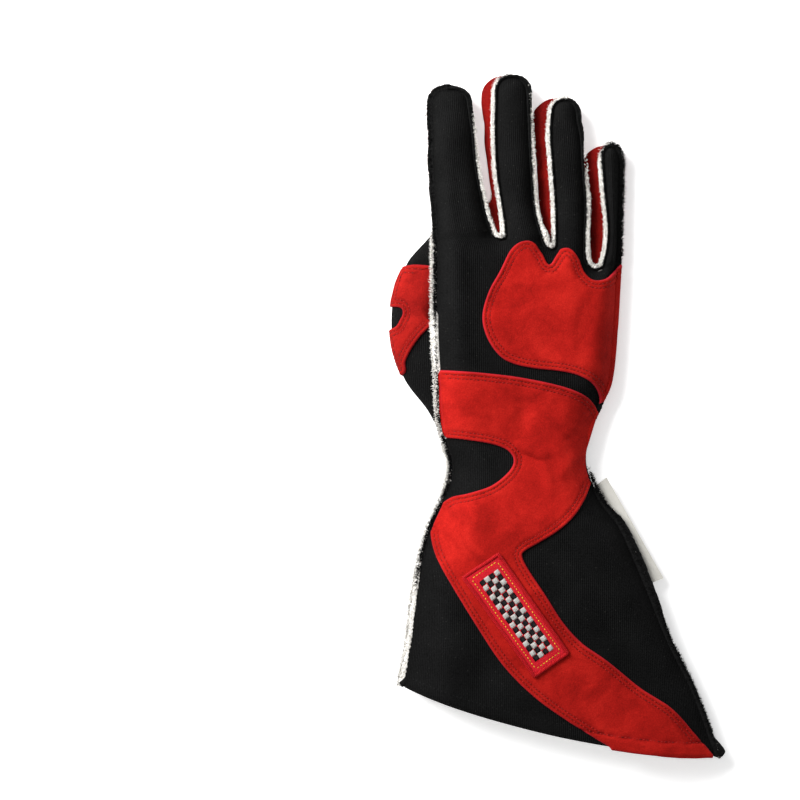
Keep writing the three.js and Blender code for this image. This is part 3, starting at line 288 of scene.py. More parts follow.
KNUCKLE_OUTLINE: Runs = [
    [(40, 2), (40, 40), (40, 94)],
    [(40, 94), (36.5, 89.6), (33, 86), (26.8, 80.5), (20, 79.5), (14.4, 84), (10.8, 92.5), (6.8, 97.6),
     (2.2, 97.8), (-1.4, 93.6), (-6, 88.2), (-10.3, 94.8), (-15.8, 101.6), (-22.2, 101.3), (-28.4, 96),
     (-34.4, 84.5), (-40.6, 73), (-44.4, 59), (-42, 47), (-35, 36.5), (-26.5, 31.5), (-14, 28.8), (0, 27.3),
     (11, 24.8), (19.5, 20), (24, 12), (23.5, 2)],
]
STRAP_OUTLINE: Runs = [
    [(-76, 28.3), (-60.5, 27.5), (-42, 26), (-23.5, 23.8), (-5, 20.2), (8, 16.5), (17, 11.8), (22.5, 5),
     (26, -2)],
    [(26, -2), (24, -20), (19.5, -36)],
    [(19.5, -36), (14.5, -47), (8, -56.5), (-1, -64.5), (-12, -71.2), (-20, -75.8), (-21.5, -79),
     (-18, -86.5), (-8, -101.5), (2, -117), (13, -129), (27, -139), (46.5, -155), (65, -167.5), (79, -183),
     (92, -199), (100, -212)],
    [(100, -212), (66, -216), (34, -212)],
    [(34, -212), (31.5, -192.5), (21, -184.3), (5, -174.3), (-14, -160.5), (-31, -143.5), (-45.5, -122.5),
     (-59.5, -99.5), (-69, -82.5), (-72.6, -71.5), (-73, -62), (-69, -52.5), (-61.5, -46), (-51, -43),
     (-38.5, -38.3), (-29, -30.5), (-26.2, -24), (-29.5, -18.5), (-37.5, -15), (-49, -12.7), (-60, -11.3),
     (-76, -11)],
    [(-76, -11), (-76, 28.3)],
]
THUMB_OVERLAY_OUTLINE: Runs = [
    [(-71.6, 88.4), (-83, 89.4), (-90.5, 88)],
    [(-90.5, 88), (-108, 85)],
    [(-108, 85), (-108, 64.5)],
    [(-108, 64.5), (-92.4, 64.6), (-89.8, 61.5), (-91.6, 57), (-95, 52.5), (-108, 48)],
    [(-108, 48), (-108, 22)],
    [(-108, 22), (-89.5, 25.5), (-88.3, 33), (-84.5, 41), (-79, 48.5), (-74.8, 52.5), (-71.6, 56)],
]
PALM_OVERLAY_OUTLINE: Runs = [
    [(-66, 104), (-66.5, 118), (-64.5, 127), (-59, 129.8), (-53.5, 126.5), (-47.5, 119.5), (-42.5, 117.3),
     (-38.5, 121), (-34.5, 129), (-29.5, 132.5), (-24.5, 128), (-20, 118), (-14.5, 112.5), (-10.5, 115.5),
     (-5.5, 121.5), (-0.5, 121), (4, 111.5), (9.5, 102.5), (15.5, 97.5), (21, 100.5), (25, 105.5),
     (28.3, 101.5), (28.8, 88), (26, 65), (20.5, 42), (11, 25), (-1, 17.5), (-15, 16.2), (-27.5, 22),
     (-34, 35), (-35.3, 52), (-35.8, 70), (-39.5, 80.5), (-48, 88), (-58, 93.5), (-64.5, 97.5), (-66, 104)],
]

WEB_STEPS = 7  # rows from the body to a finger's first section
FINGER_STEPS = 7  # rows in each section of a finger
TIP_CURVE = 2.4  # the exponent of a fingertip's outline, which for an ellipse is 2
TIP_LEAST = 0.3  # how narrow a fingertip gets, as a share of its width
TIP_PARTS = (0.14, 0.28, 0.42, 0.54, 0.65, 0.74, 0.82, 0.88, 0.93, 0.97, 1.0)  # the places of a tip's rows


def row_at(rows: list[Row], t: float) -> Row:
    """Find the columns of a table part-way between its rows, on smooth curves.

    Args:
        rows: The table.
        t: The place, counted in rows.

    Returns:
        The columns there.
    """
    i = min(int(t), len(rows) - 2)
    s = t - i
    around = [rows[max(i - 1, 0)], rows[i], rows[i + 1], rows[min(i + 2, len(rows) - 1)]]
    found = {}
    for key in rows[0]:
        a, b, c, d = (row[key] for row in around)
        found[key] = b + 0.5 * s * (c - a + s * (2 * a - 5 * b + 4 * c - d + s * (3 * (b - c) + d - a)))
    return found


def blend(a: Value, b: Value, share: Value) -> Value:
    """Go a share of the way from a to b."""
    return a + (b - a) * share


def span(row: Row, shares: Array) -> tuple[Array, Array]:
    """Give the places x and y between a row's two ends."""
    return blend(row["left_x"], row["right_x"], shares), blend(row["left_y"], row["right_y"], shares)


def smoothstep(value: Value, low: float, high: float) -> Value:
    """Rise smoothly from 0 at low to 1 at high."""
    s = np.clip((np.asarray(value, float) - low) / (high - low), 0.0, 1.0)
    return s * s * (3 - 2 * s)


def ridge_at(distance: Array, width: float) -> Array:
    """Fall off smoothly from 1 at distance 0, over a width."""
    return np.exp(-((distance / width) ** 2))


def rounded(distance: Array, radius: float, least: float = 0.0) -> Array:
    """Rise as a quarter of a circle does, from least at an edge to 1 at a radius from it."""
    return np.sqrt(np.clip(1 - (1 - np.clip(distance / radius, 0, 1)) ** 2, least, 1))


def unit(vectors: Array) -> Array:
    """Scale each vector to length 1."""
    return vectors / np.maximum(np.linalg.norm(vectors, axis=-1, keepdims=True), 1e-9)


def smooth_noise(points: Array, pitch: float, seed: int) -> Array:
    """Give each point a smooth value between about -1 and 1.

    Args:
        points: Places in millimetres, two or three numbers each.
        pitch: The size of the bumps in millimetres.
        seed: The pattern's number.

    Returns:
        One value for each point.
    """
    rng = np.random.default_rng(seed)
    total = np.zeros(len(points))
    for _ in range(7):  # waves that run every way, enough to hide their rows
        direction = unit(rng.normal(size=points.shape[1]))
        length = pitch * rng.uniform(0.7, 1.6)
        total += np.sin(points @ direction * (2 * math.pi / length) + rng.uniform(0, 2 * math.pi))
    return total / 4.5


def arc_lengths(path: Array) -> Array:
    """Measure the length along a path up to each of its points."""
    return np.concatenate([[0.0], np.cumsum(np.linalg.norm(np.diff(path, axis=0), axis=1))])


def read_along(path: Array, wanted: Array, along: Array | None = None) -> Array:
    """Read a path's columns at wanted measures.

    Args:
        path: The points.
        wanted: The measures to read at.
        along: Each point's measure, or None for its length along the path.

    Returns:
        One row for each wanted measure.
    """
    along = arc_lengths(path) if along is None else along
    return np.column_stack([np.interp(wanted, along, column) for column in path.T])


def respaced(path: Array, step: float) -> Array:
    """Space a path's points evenly, about a step apart, with both ends kept."""
    length = arc_lengths(path)[-1]
    return read_along(path, np.linspace(0, length, max(2, round(length / step) + 1)))


def smooth_run(points: Sequence[tuple[float, float]], step: float) -> Array:
    """Draw a smooth curve through points and space it evenly."""
    rows = table("x y", points)
    places = np.linspace(0, len(rows) - 1, 12 * (len(rows) - 1) + 1)
    return respaced(np.array([list(row_at(rows, t).values()) for t in places]), step)


def closed_outline(runs: Runs, step: float) -> Array:
    """Join smooth runs to one ring of evenly spaced points, running anticlockwise."""
    ring = np.vstack([smooth_run(run, step)[:-1] for run in runs])
    x, y = ring.T
    return ring if (x * np.roll(y, -1) - np.roll(x, -1) * y).sum() > 0 else ring[::-1]


def left_of(path: Array) -> Array:
    """Find the level unit vectors that point to the left of a path."""
    along = np.gradient(path[:, :2], axis=0)
    sideways = unit(np.column_stack([-along[:, 1], along[:, 0]]))
    return np.column_stack([sideways, np.zeros(len(path))]) if path.shape[1] == 3 else sideways


def inward_of(ring: Array) -> Array:
    """Find the unit vectors that point into an anticlockwise ring."""
    return left_of(np.vstack([ring[-1:], ring, ring[:1]]))[1:-1]


def to_segments(points: Array, starts: Array, steps: Array) -> tuple[Array, Array]:
    """Measure from each point to each of many segments, in plan.

    Args:
        points: The points.
        starts: Where each segment starts.
        steps: The way from its start to its end.

    Returns:
        Where along a segment it comes nearest, as a share, and the distance there.
    """
    squared = np.maximum((steps**2).sum(1), 1e-12)
    share = np.clip(((points[:, None] - starts) * steps).sum(2) / squared, 0, 1)
    gap = points[:, None] - (starts + share[..., None] * steps)
    return share, np.hypot(gap[..., 0], gap[..., 1])


def nearest_on(points: Array, path: Array, closed: bool = False) -> tuple[Array, Array]:
    """Find the nearest place on a path to each point, in plan.

    Args:
        points: The points, of which the first two columns count.
        path: The path's points.
        closed: Whether the path returns to its start.

    Returns:
        The distances and the nearest places.
    """
    ring = np.vstack([path, path[:1]])[:, :2] if closed else path[:, :2]
    starts, steps = ring[:-1], np.diff(ring, axis=0)
    distances, places = [], []
    for chunk in np.array_split(points[:, :2], max(1, len(points) // 2000)):
        share, away = to_segments(chunk, starts, steps)
        k = away.argmin(1)
        pick = np.arange(len(chunk))
        distances.append(away[pick, k])
        places.append(starts[k] + share[pick, k][:, None] * steps[k])
    return np.concatenate(distances), np.vstack(places)


def spikes(ring: Array) -> Array:
    """Tell which points of a ring are the tips of spikes, where it turns back on itself."""
    before, after = unit(ring - np.roll(ring, 1, axis=0)), unit(np.roll(ring, -1, axis=0) - ring)
    return (before * after).sum(1) < -0.5


def inside(points: Array, ring: Array) -> Array:
    """Tell which points lie inside a closed outline in plan."""
    x, y = points[:, :1], points[:, 1:2]
    (x1, y1), (x2, y2) = ring[:, :2].T, np.roll(ring[:, :2], -1, axis=0).T
    crossing = x1 + (y - y1) * (x2 - x1) / np.where(y2 == y1, 1e-9, y2 - y1)
    return (((y1 > y) != (y2 > y)) & (x < crossing)).sum(1) % 2 == 1


def grid_quads(rows: int, columns: int) -> Array:
    """Number the faces of a grid of points."""
    grid = np.arange(rows * columns).reshape(rows, columns)
    return np.stack([grid[:-1, :-1], grid[1:, :-1], grid[1:, 1:], grid[:-1, 1:]], axis=-1).reshape(-1, 4)


def tube_faces(stations: int, sides: int) -> tuple[Array, Array]:
    """Number the faces round a tube and those of its two ends."""
    ring = np.arange(sides)
    start = np.arange(stations - 1)[:, None] * sides
    after = (ring + 1) % sides
    around = start + ring, start + sides + ring, start + sides + after, start + after
    return np.stack(around, axis=-1).reshape(-1, 4), np.array([ring, (stations - 1) * sides + ring[::-1]])


def flipped(faces: Array) -> Array:
    """Reverse faces, each from the corner that it began with, so that a quad keeps its diagonal."""
    return np.roll(faces[:, ::-1], 1, axis=1)


def repeated(faces: Array, count: int, size: int) -> Array:
    """Number the faces of many copies of a small mesh that has so many points."""
    return ((np.arange(count) * size)[:, None, None] + faces).reshape(-1, faces.shape[1])


def merged(parts: list[tuple[Array, list]]) -> tuple[Array, list, Array]:
    """Join several meshes.

    Args:
        parts: The points and faces of each.

    Returns:
        The points, the faces, and the number of the mesh that each face came from.
    """
    faces, kinds, start = [], [], 0
    for kind, (points, around) in enumerate(parts):
        faces.extend([start + v for v in face] for face in around)
        kinds.extend([kind] * len(around))
        start += len(points)
    return np.vstack([points for points, _ in parts]), faces, np.array(kinds)


def shell_faces(faces: Array, count: int) -> tuple[list, Array]:
    """Close two matching layers of points with walls along their open edges.

    Args:
        faces: The faces of the outer layer, whose points come after the inner layer's.
        count: How many points one layer has.

    Returns:
        All the faces, and 0, 1 or 2 for outside, lining and rim.
    """
    a, b = faces.ravel(), np.roll(faces, -1, axis=1).ravel()
    loose = ~np.isin(a * count + b, b * count + a)
    p, q = a[loose], b[loose]
    parts = faces + count, faces[:, ::-1], np.column_stack([p, q, q + count, p + count])
    kinds = np.repeat([0, 1, 2], [len(part) for part in parts])
    return [face for part in parts for face in part.tolist()], kinds


@dataclass
class Cloth:
    """A panel laid out in plan and then raised to its shape, whose outside looks up (1) or down (-1)."""

    facing: int
    rolled: bool = False  # wraps round a form, so that its wales are measured from the right edge
    row_steps: int = 10
    column_steps: int = 6
    blocks: list[Array] = field(default_factory=list)  # x, y, level, turn, sewn height, way to the mouth
    quads: list[Array] = field(default_factory=list)
    lines: list[Array] = field(default_factory=list)
    sewn: list[Array] = field(default_factory=list)
    tips: list[tuple[int, int, int]] = field(default_factory=list)
    webs: list[int] = field(default_factory=list)
    anchors: dict[int, int] = field(default_factory=dict)
    count: int = 0
    outline: Array = field(init=False)
    points: Array = field(init=False)

    def add_row(
        self, x: Array, y: Value, level: Value, turn: float,
        left: float, right: float, mouth: float = FAR,
    ) -> Array:
        """Add a row of points from the left edge to the right one.

        Args:
            x: Places across.
            y: Places along.
            level: The height of the cloth away from its edges.
            turn: How far from an edge the cloth has reached that height.
            left: The height of the left edge.
            right: The height of the right edge.
            mouth: The distance to the glove's mouth.

        Returns:
            The new points' numbers.
        """
        edge = np.full(len(x), np.nan)
        edge[[0, -1]] = left, right
        self.blocks.append(np.column_stack(np.broadcast_arrays(x, y, level, turn, edge, mouth)))
        self.count += len(x)
        return np.arange(self.count - len(x), self.count)

    def join(self, lower: Array, upper: Array) -> None:
        """Lay faces between two rows of points."""
        self.quads.append(np.column_stack([lower[:-1], lower[1:], upper[1:], upper[:-1]]))

    def add_line(self, line: Array) -> None:
        """Join a row across the whole panel to the one below."""
        if self.lines:
            self.join(self.lines[-1], line)
        self.lines.append(line)

    def add_body(
        self, rows: list[Row], shares: Array, describe: Describe, shift: Value = 0.0,
        has_mouth: bool = True,
    ) -> None:
        """Lay the part of a panel below its fingers.

        Args:
            rows: Its sections.
            shares: The columns, as shares of the width.
            describe: Gives a row's heights: inside, at the left edge and at the right edge.
            shift: How far the last row's points move along, spread over the last section.
            has_mouth: Whether distances are measured from its first row.
        """
        last = len(rows) - 1
        for k in range(last * self.row_steps + 1):
            t = k / self.row_steps
            row = row_at(rows, t)
            x, y = span(row, shares)
            y = y - row.get("sag", 0.0) * 4 * shares * (1 - shares) + shift * max(0.0, t - (last - 1))
            climb = 0.5 * sum(row[side] - rows[0][side] for side in ("left_y", "right_y"))
            level, left, right = describe(row, shares)
            self.add_line(self.add_row(x, y, level, row["turn"], left, right, climb if has_mouth else FAR))

    def side(self, column: int) -> Array:
        """List the first (0) or last (-1) point of every whole row."""
        return np.array([line[column] for line in self.lines])

    def data(self) -> Array:
        """Collect the columns of every point."""
        return np.vstack(self.blocks)

    def settle(self, wrinkle: float, seed: int, smoothing: int = 6, folds: Sequence[Row] = ()) -> Cloth:
        """Raise the cloth: sewn edges keep their heights, and the rest turns from them to its level.

        Args:
            wrinkle: The height of soft unevenness, in millimetres.
            seed: The pattern of that unevenness.
            smoothing: How many times each free point moves to its neighbours' mean height.
            folds: Soft ridges and hollows, each along a straight line.

        Returns:
            The panel itself.
        """
        data = self.data()
        plan, (level, turn, edge) = data[:, :2], data[:, 2:5].T
        starts = np.concatenate([run[:-1] for run in self.sewn])
        ends = np.concatenate([run[1:] for run in self.sewn])
        steps = plan[ends] - plan[starts]
        lengths = np.maximum(np.linalg.norm(steps, axis=1), 1e-5)
        z = np.where(np.isnan(edge), 0.0, edge)
        rise = np.zeros(self.count)
        free = np.flatnonzero(np.isnan(edge))
        for chunk in np.array_split(free, max(1, len(free) // 1500)):
            share, away = to_segments(plan[chunk], plan[starts], steps)
            weight = lengths / (away + 0.01) ** 3  # the nearest edge counts most
            rim = (weight * blend(edge[starts], edge[ends], share)).sum(1) / weight.sum(1)
            rise[chunk] = 1 - (1 - np.minimum(away.min(1) / turn[chunk], 1)) ** EDGE_ROUNDING
            z[chunk] = blend(rim, level[chunk], rise[chunk])
        faces = np.vstack(self.quads)
        first, second = faces.T.ravel(), np.roll(faces, -1, axis=1).T.ravel()
        degree = np.bincount(first, minlength=self.count) + np.bincount(second, minlength=self.count)
        still = ~np.isnan(edge) | (np.bincount(first, minlength=self.count) < 4)
        for _ in range(smoothing):
            total = np.bincount(first, z[second], self.count) + np.bincount(second, z[first], self.count)
            z = np.where(still, z, total / np.maximum(degree, 1))
        z = z + wrinkle * rise * smooth_noise(plan, 34.0, seed)
        for fold in folds:
            start = np.array([fold["x0"], fold["y0"]])
            run = np.array([fold["x1"], fold["y1"]]) - start
            share, away = (part[:, 0] for part in to_segments(plan, start[None], run[None]))
            swell = ridge_at(away, fold["width"]) * np.sin(math.pi * (0.15 + 0.7 * share))
            z = z + fold["height"] * rise * swell
        self.points = np.column_stack([plan, z])
        return self

    def faces(self) -> Array:
        """Give the faces, turned to look outwards."""
        return np.vstack(self.quads)[:, ::self.facing]

    def normals(self) -> Array:
        """Give the outward unit normal at each point."""
        faces, p = self.faces(), self.points
        across = np.cross(p[faces[:, 2]] - p[faces[:, 0]], p[faces[:, 3]] - p[faces[:, 1]])
        total = np.zeros_like(p)
        for column in faces.T:
            np.add.at(total, column, across)
        return unit(total)

    def path(self, start: int, stop: int, step: float = 0.9) -> Array:
        """Give evenly spaced points along the outline from one of its points to another."""
        return respaced(self.points[self.outline[start:stop + 1]], step)

    def unrolled(self) -> Array:
        """Measure the cloth across its curve, so that its wales keep their spacing.

        Returns:
            Places across and along, in millimetres.
        """
        uv = self.points[:, :2].copy()
        start = 0
        for number, block in enumerate(self.blocks):
            rows = slice(start, start + len(block))
            line = self.points[rows]
            along = arc_lengths(line)
            if self.rolled:
                uv[rows, 0] = -along
            elif number in self.anchors:
                uv[rows, 0] = uv[self.anchors[number], 0] + along - along[len(along) // 2]
            else:
                centre = MIDDLE_X if line[0, 0] < MIDDLE_X < line[-1, 0] else line[:, 0].mean()
                uv[rows, 0] = centre + along - np.interp(centre, line[:, 0], along)
            start += len(block)
        return uv

    def shell(self, name: str, outside: str) -> Piece:
        """Make the panel with a fleece lining and, at the mouth, a rounded and thickened hem.

        Args:
            name: The piece's name.
            outside: The finish of its outside.

        Returns:
            The panel.
        """
        wall, rim = WALLS[outside]
        mouth = self.data()[:, 5]
        hem, groove, rounding = 0.0, 0.0, np.ones(self.count)
        if mouth.min() < 1:
            hem = smoothstep(mouth, *HEM_SLOPE)
            groove = HEM_GROOVE * ridge_at(mouth - HEM_STITCH, 0.7)
            rounding = rounded(mouth, HEM_ROUNDING, 0.02)
        inner = -wall / 2 * (1 + rounding)
        outer = -wall / 2 + (wall / 2 + HEM_RISE * hem) * rounding - groove
        points = np.vstack([self.points + self.normals() * rise[:, None] for rise in (inner, outer)])
        points[:, 2] = np.maximum(points[:, 2], -CENTRE_SHIFT[2])  # rests on the table
        faces, kinds = shell_faces(self.faces(), self.count)
        uv = np.tile(self.unrolled(), (2, 1))
        return make_object(name, points, faces, [outside, "fleece", rim], kinds, uv)


def hand_cloth(
    facing: int, rows: list[Row], fingers: list[Finger], seam_offset: float, describe: Describe,
) -> Cloth:
    """Lay a panel with four fingers.

    Args:
        facing: 1 for the back of the hand, -1 for the palm.
        rows: The sections below the fingers.
        fingers: The fingers, from the thumb side.
        seam_offset: From a side seam's middle to this panel's edge.
        describe: Gives a body row's heights.

    Returns:
        The panel, not yet raised.
    """
    cloth = Cloth(facing)
    top = rows[-1]
    webs = [finger.web for finger in fingers if finger.web]
    corners = np.cumsum([0, *(finger.columns * cloth.column_steps for finger in fingers)])
    marks = [(top["left_x"], top["left_y"]), *(web[:2] for web in webs), (top["right_x"], top["right_y"])]
    x, y = read_along(np.array(marks), np.arange(corners[-1] + 1), corners).T
    shares = (x - x[0]) / (x[-1] - x[0])
    cloth.add_body(rows, shares, describe, y - blend(top["left_y"], top["right_y"], shares))
    cloth.blocks[-1][corners[1:-1], 4] = [web[2] for web in webs]
    outline = list(cloth.side(0))
    for finger, start, stop in zip(fingers, corners[:-1], corners[1:], strict=True):
        straight, columns = (start == 0, stop == corners[-1]), slice(start, stop + 1)
        left, right, tip_row = add_finger(cloth, finger, columns, top["turn"], seam_offset, straight)
        first = len(outline) + len(left) - 1
        last = first + len(tip_row) - 1
        cloth.tips.append((first, (first + last) // 2, last))
        outline += [*left, *tip_row[1:-1], *right[::-1]]
        if finger.web:
            cloth.webs.append(len(outline))
        outline.append(cloth.lines[-1][stop])
    outline.extend(cloth.side(-1)[-2::-1])
    cloth.outline = np.array(outline)
    cloth.sewn.append(cloth.outline)
    return cloth


def add_finger(
    cloth: Cloth, finger: Finger, columns: slice, body_turn: float, seam_offset: float,
    straight: tuple[bool, bool],
) -> tuple[list[int], list[int], Array]:
    """Lay one finger on the last row of the body.

    Args:
        cloth: The panel.
        finger: The finger's sizes.
        columns: The columns of the body's last row that lie under the finger.
        body_turn: How far in the body turns at its last row.
        seam_offset: From a side seam's middle to the panel's edge.
        straight: Whether its left and right edges run on from a side seam, without a web.

    Returns:
        The points of its left edge, of its right edge, and of the end of its tip.
    """
    base, block = cloth.lines[-1][columns], cloth.blocks[len(cloth.lines) - 1][columns]
    shares = np.linspace(0, 1, len(base))
    left, right, below = [], [], base

    def lay(row: Row, crown: Value, turn: float, heights: Array) -> None:
        """Add one row of the finger and join it to the row below."""
        nonlocal below
        line = cloth.add_row(*span(row, shares), crown, turn, *heights)
        cloth.anchors[len(cloth.blocks) - 1] = int(base[len(base) // 2])
        cloth.join(below, line)
        left.append(line[0])
        right.append(line[-1])
        below = line

    def edges(row: Row) -> Array:
        """Give the heights of a row's two edges."""
        return np.where(straight, row["seam"] + seam_offset, row["slit_seam"])

    start = finger.rows[0]
    foot = block[[0, -1], 4]
    foot = np.where(np.isnan(foot), edges(start), foot)
    for t in np.arange(1, WEB_STEPS + 1) / WEB_STEPS:
        bent = math.sin(t * math.pi / 2), 1 - math.cos(t * math.pi / 2)
        row = {}
        for side, column, even in zip(("left", "right"), (0, -1), straight, strict=True):
            for axis, share in enumerate((t, t) if even else bent):
                key = f"{side}_{'xy'[axis]}"
                row[key] = blend(block[column, axis], start[key], share)
        crown, turn = blend(block[:, 2], start["crown"], t), blend(body_turn, finger.turn, t)
        lay(row, crown, turn, blend(foot, edges(start), t))
    for k in range(1, (len(finger.rows) - 1) * FINGER_STEPS + 1):
        row = row_at(finger.rows, k / FINGER_STEPS)
        lay(row, row["crown"], finger.turn, edges(row))
    shoulder = finger.rows[-1]
    ends = np.array([[shoulder["left_x"], shoulder["left_y"]], [shoulder["right_x"], shoulder["right_y"]]])
    middle, half = ends.mean(0), (ends[1] - ends[0]) / 2
    for part in TIP_PARTS:
        centre = blend(middle, np.array(finger.tip[:2]), part)
        reach = half * [max((1 - part**TIP_CURVE) ** (1 / TIP_CURVE), TIP_LEAST), 1 - part]
        (row,) = table("left_x left_y right_x right_y", [[*(centre - reach), *(centre + reach)]])
        lay(row, shoulder["crown"], finger.turn, blend(edges(shoulder), finger.tip[2], part))
    cloth.blocks[-1][:, 4] = finger.tip[2]
    return left, right, below


def pucker(folds: Array) -> Array:
    """Give the height of a gathered cloth, from 0 to 1, at a place counted in folds."""
    return (1 - np.cos(2 * math.pi * folds)) / 2


def thumb_section(row: Row, count: int) -> Array:
    """Draw a section across the back of the thumb, from the side seam over the top and round below.

    Args:
        row: The section's sizes.
        count: How many points it gets.

    Returns:
        Places across and up.
    """
    right, left, under = row["right_x"], row["left_x"], row["under_x"]
    curve = smooth_run([
        (right, row["right_z"]),
        (blend(left, right, 0.83), row["shoulder_z"]),
        (blend(left, right, 0.5), row["crown_z"]),
        (blend(left, right, 0.14), blend(row["side_z"], row["crown_z"], 0.66)),
        (left, row["side_z"]),
        (blend(left, under, 0.4), blend(row["under_z"], row["side_z"], 0.2)),
        (under, row["under_z"]),
    ], 0.25)
    return read_along(curve, np.linspace(0, arc_lengths(curve)[-1], count))


def colour(value: str) -> tuple[float, float, float, float]:
    """Turn an sRGB hex value to linear light with full opacity."""
    parts = [int(value[k:k + 2], 16) / 255 for k in (1, 3, 5)]
    return (*(p / 12.92 if p <= 0.04045 else ((p + 0.055) / 1.055) ** 2.4 for p in parts), 1.0)


def plug(tree: Tree, node: bpy.types.Node, *first: object, **named: object) -> None:
    """Set or link a node's inputs.

    Args:
        tree: The material's node tree.
        node: The node.
        *first: Its first inputs: a value, a socket to link, or a node whose first output is linked.
        **named: Others by name, with underscores for spaces, or by number, as in_6.
    """
    for key, value in (*enumerate(first), *named.items()):
        if isinstance(key, str):
            key = int(key[3:]) if key.startswith("in_") else key.replace("_", " ")
        socket = node.inputs[key]
        value = value.outputs[0] if isinstance(value, bpy.types.Node) else value
        if isinstance(value, Socket):
            tree.links.new(value, socket)
        else:
            socket.default_value = value


def add_node(
    tree: Tree, kind: str, settings: dict | None = None, *first: object, **named: object,
) -> bpy.types.Node:
    """Add a shader node with its settings, values and links.

    Args:
        tree: The material's node tree.
        kind: The node's type, without the ShaderNode prefix.
        settings: Properties of the node itself.
        *first: What plug takes.
        **named: What plug takes.

    Returns:
        The new node.
    """
    made = tree.nodes.new(f"ShaderNode{kind}")
    for key, value in (settings or {}).items():
        setattr(made, key, value)
    plug(tree, made, *first, **named)
    return made


TURN = 2 * math.pi
ADD, MULTIPLY, SINE = {"operation": "ADD"}, {"operation": "MULTIPLY"}, {"operation": "SINE"}
MULTIPLY_ADD = {"operation": "MULTIPLY_ADD"}
COLOURS = {"data_type": "RGBA"}


def per(pitch_mm: float) -> float:
    """Give the scale of a pattern with that pitch."""
    return 1 / (pitch_mm * MM)


@dataclass(frozen=True)
class Finish:
    """A finish with a name. Each kind gives its colour, its relief and the shader's other values."""

    name: str

    def make(self) -> bpy.types.Material:
        """Build the material."""
        material = bpy.data.materials.new(self.name)
        material.use_nodes = True
        tree = material.node_tree
        tree.nodes.clear()
        add = partial(add_node, tree)
        shader = add("BsdfPrincipled")
        add("OutputMaterial", Surface=shader)
        tint, relief, values = self.pattern(add, add("TexCoord").outputs["Object"])
        plug(tree, shader, Base_Color=tint, Normal=add("Bump", **relief), **values)
        return material

    def pattern(self, add: Add, spot: Socket) -> Look:
        """Draw the pattern.

        Args:
            add: Adds a node to the material.
            spot: The place on the object.

        Returns:
            The colour, the relief's values and the shader's other values.
        """
        raise NotImplementedError


@dataclass(frozen=True)
class RibKnit(Finish):
    """Fine rib jersey of aramid yarn, as knitted: matt, with soft upright wales and a slight fuzz."""

    # yarn shows in the hollows between wales as painted shade, lit_yarn on their ridges as painted highlight
    yarn: str
    lit_yarn: str
    lint: str
    wale_mm: float = 1.2
    course_mm: float = 0.9
    lint_mm: float = 3.4  # mean spacing of the specks of lint

    def pattern(self, add: Add, spot: Socket) -> Look:
        """Draw wales and courses, with painted highlights on the ridges, painted shade between, patches of
        wear and lint.
        """
        place = add("SeparateXYZ", None, add("UVMap", {"uv_map": "cloth"}))
        wale = add("Math", MULTIPLY, place.outputs[0], TURN / (self.wale_mm * MM))
        ridge = add("Math", SINE, wale)
        zigzag = add("Math", MULTIPLY_ADD, ridge, 0.9, 0.0)
        course = add("Math", MULTIPLY, place.outputs[1], TURN / (self.course_mm * MM))
        loop = add("Math", SINE, add("Math", ADD, course, zigzag))
        fuzz = add("TexNoise", Vector=spot, Scale=1400.0, Detail=3.0, Roughness=0.7)
        cloud = add("TexNoise", Vector=spot, Scale=55.0, Detail=2.0)
        height = add("Math", MULTIPLY_ADD, ridge, 0.5, 0.5)
        loops = add("Math", MULTIPLY_ADD, loop, 0.14, height)
        rough = add("Math", MULTIPLY_ADD, fuzz, 1.5, loops)
        soft = add("Math", MULTIPLY_ADD, loops, 0.2, 0.22)
        light = add("Math", MULTIPLY_ADD, fuzz, 1.1, soft)
        rib_light_and_wear = add("Math", MULTIPLY_ADD, cloud, 0.4, light)
        shade = add("MapRange", None, rib_light_and_wear, 0.72, 1.38, 0.0, 1.0)
        # mixes hollow and ridge colours: painted highlight on the wales' ridges, painted shade between them,
        # with patches of wear and fuzz
        tone = add("Mix", COLOURS, shade, in_6=colour(self.yarn), in_7=colour(self.lit_yarn))
        motes = add("TexVoronoi", Vector=spot, Scale=per(self.lint_mm))
        mote = add("MapRange", None, motes, 0.05, 0.1, 0.45, 0.0)
        dusty = add("Mix", COLOURS, mote, in_6=tone.outputs[2], in_7=colour(self.lint))
        relief = {"Strength": 0.9, "Distance": 0.3 * MM, "Height": rough}
        return dusty.outputs[2], relief, {"Roughness": 0.95, "Specular_IOR_Level": 0.04}


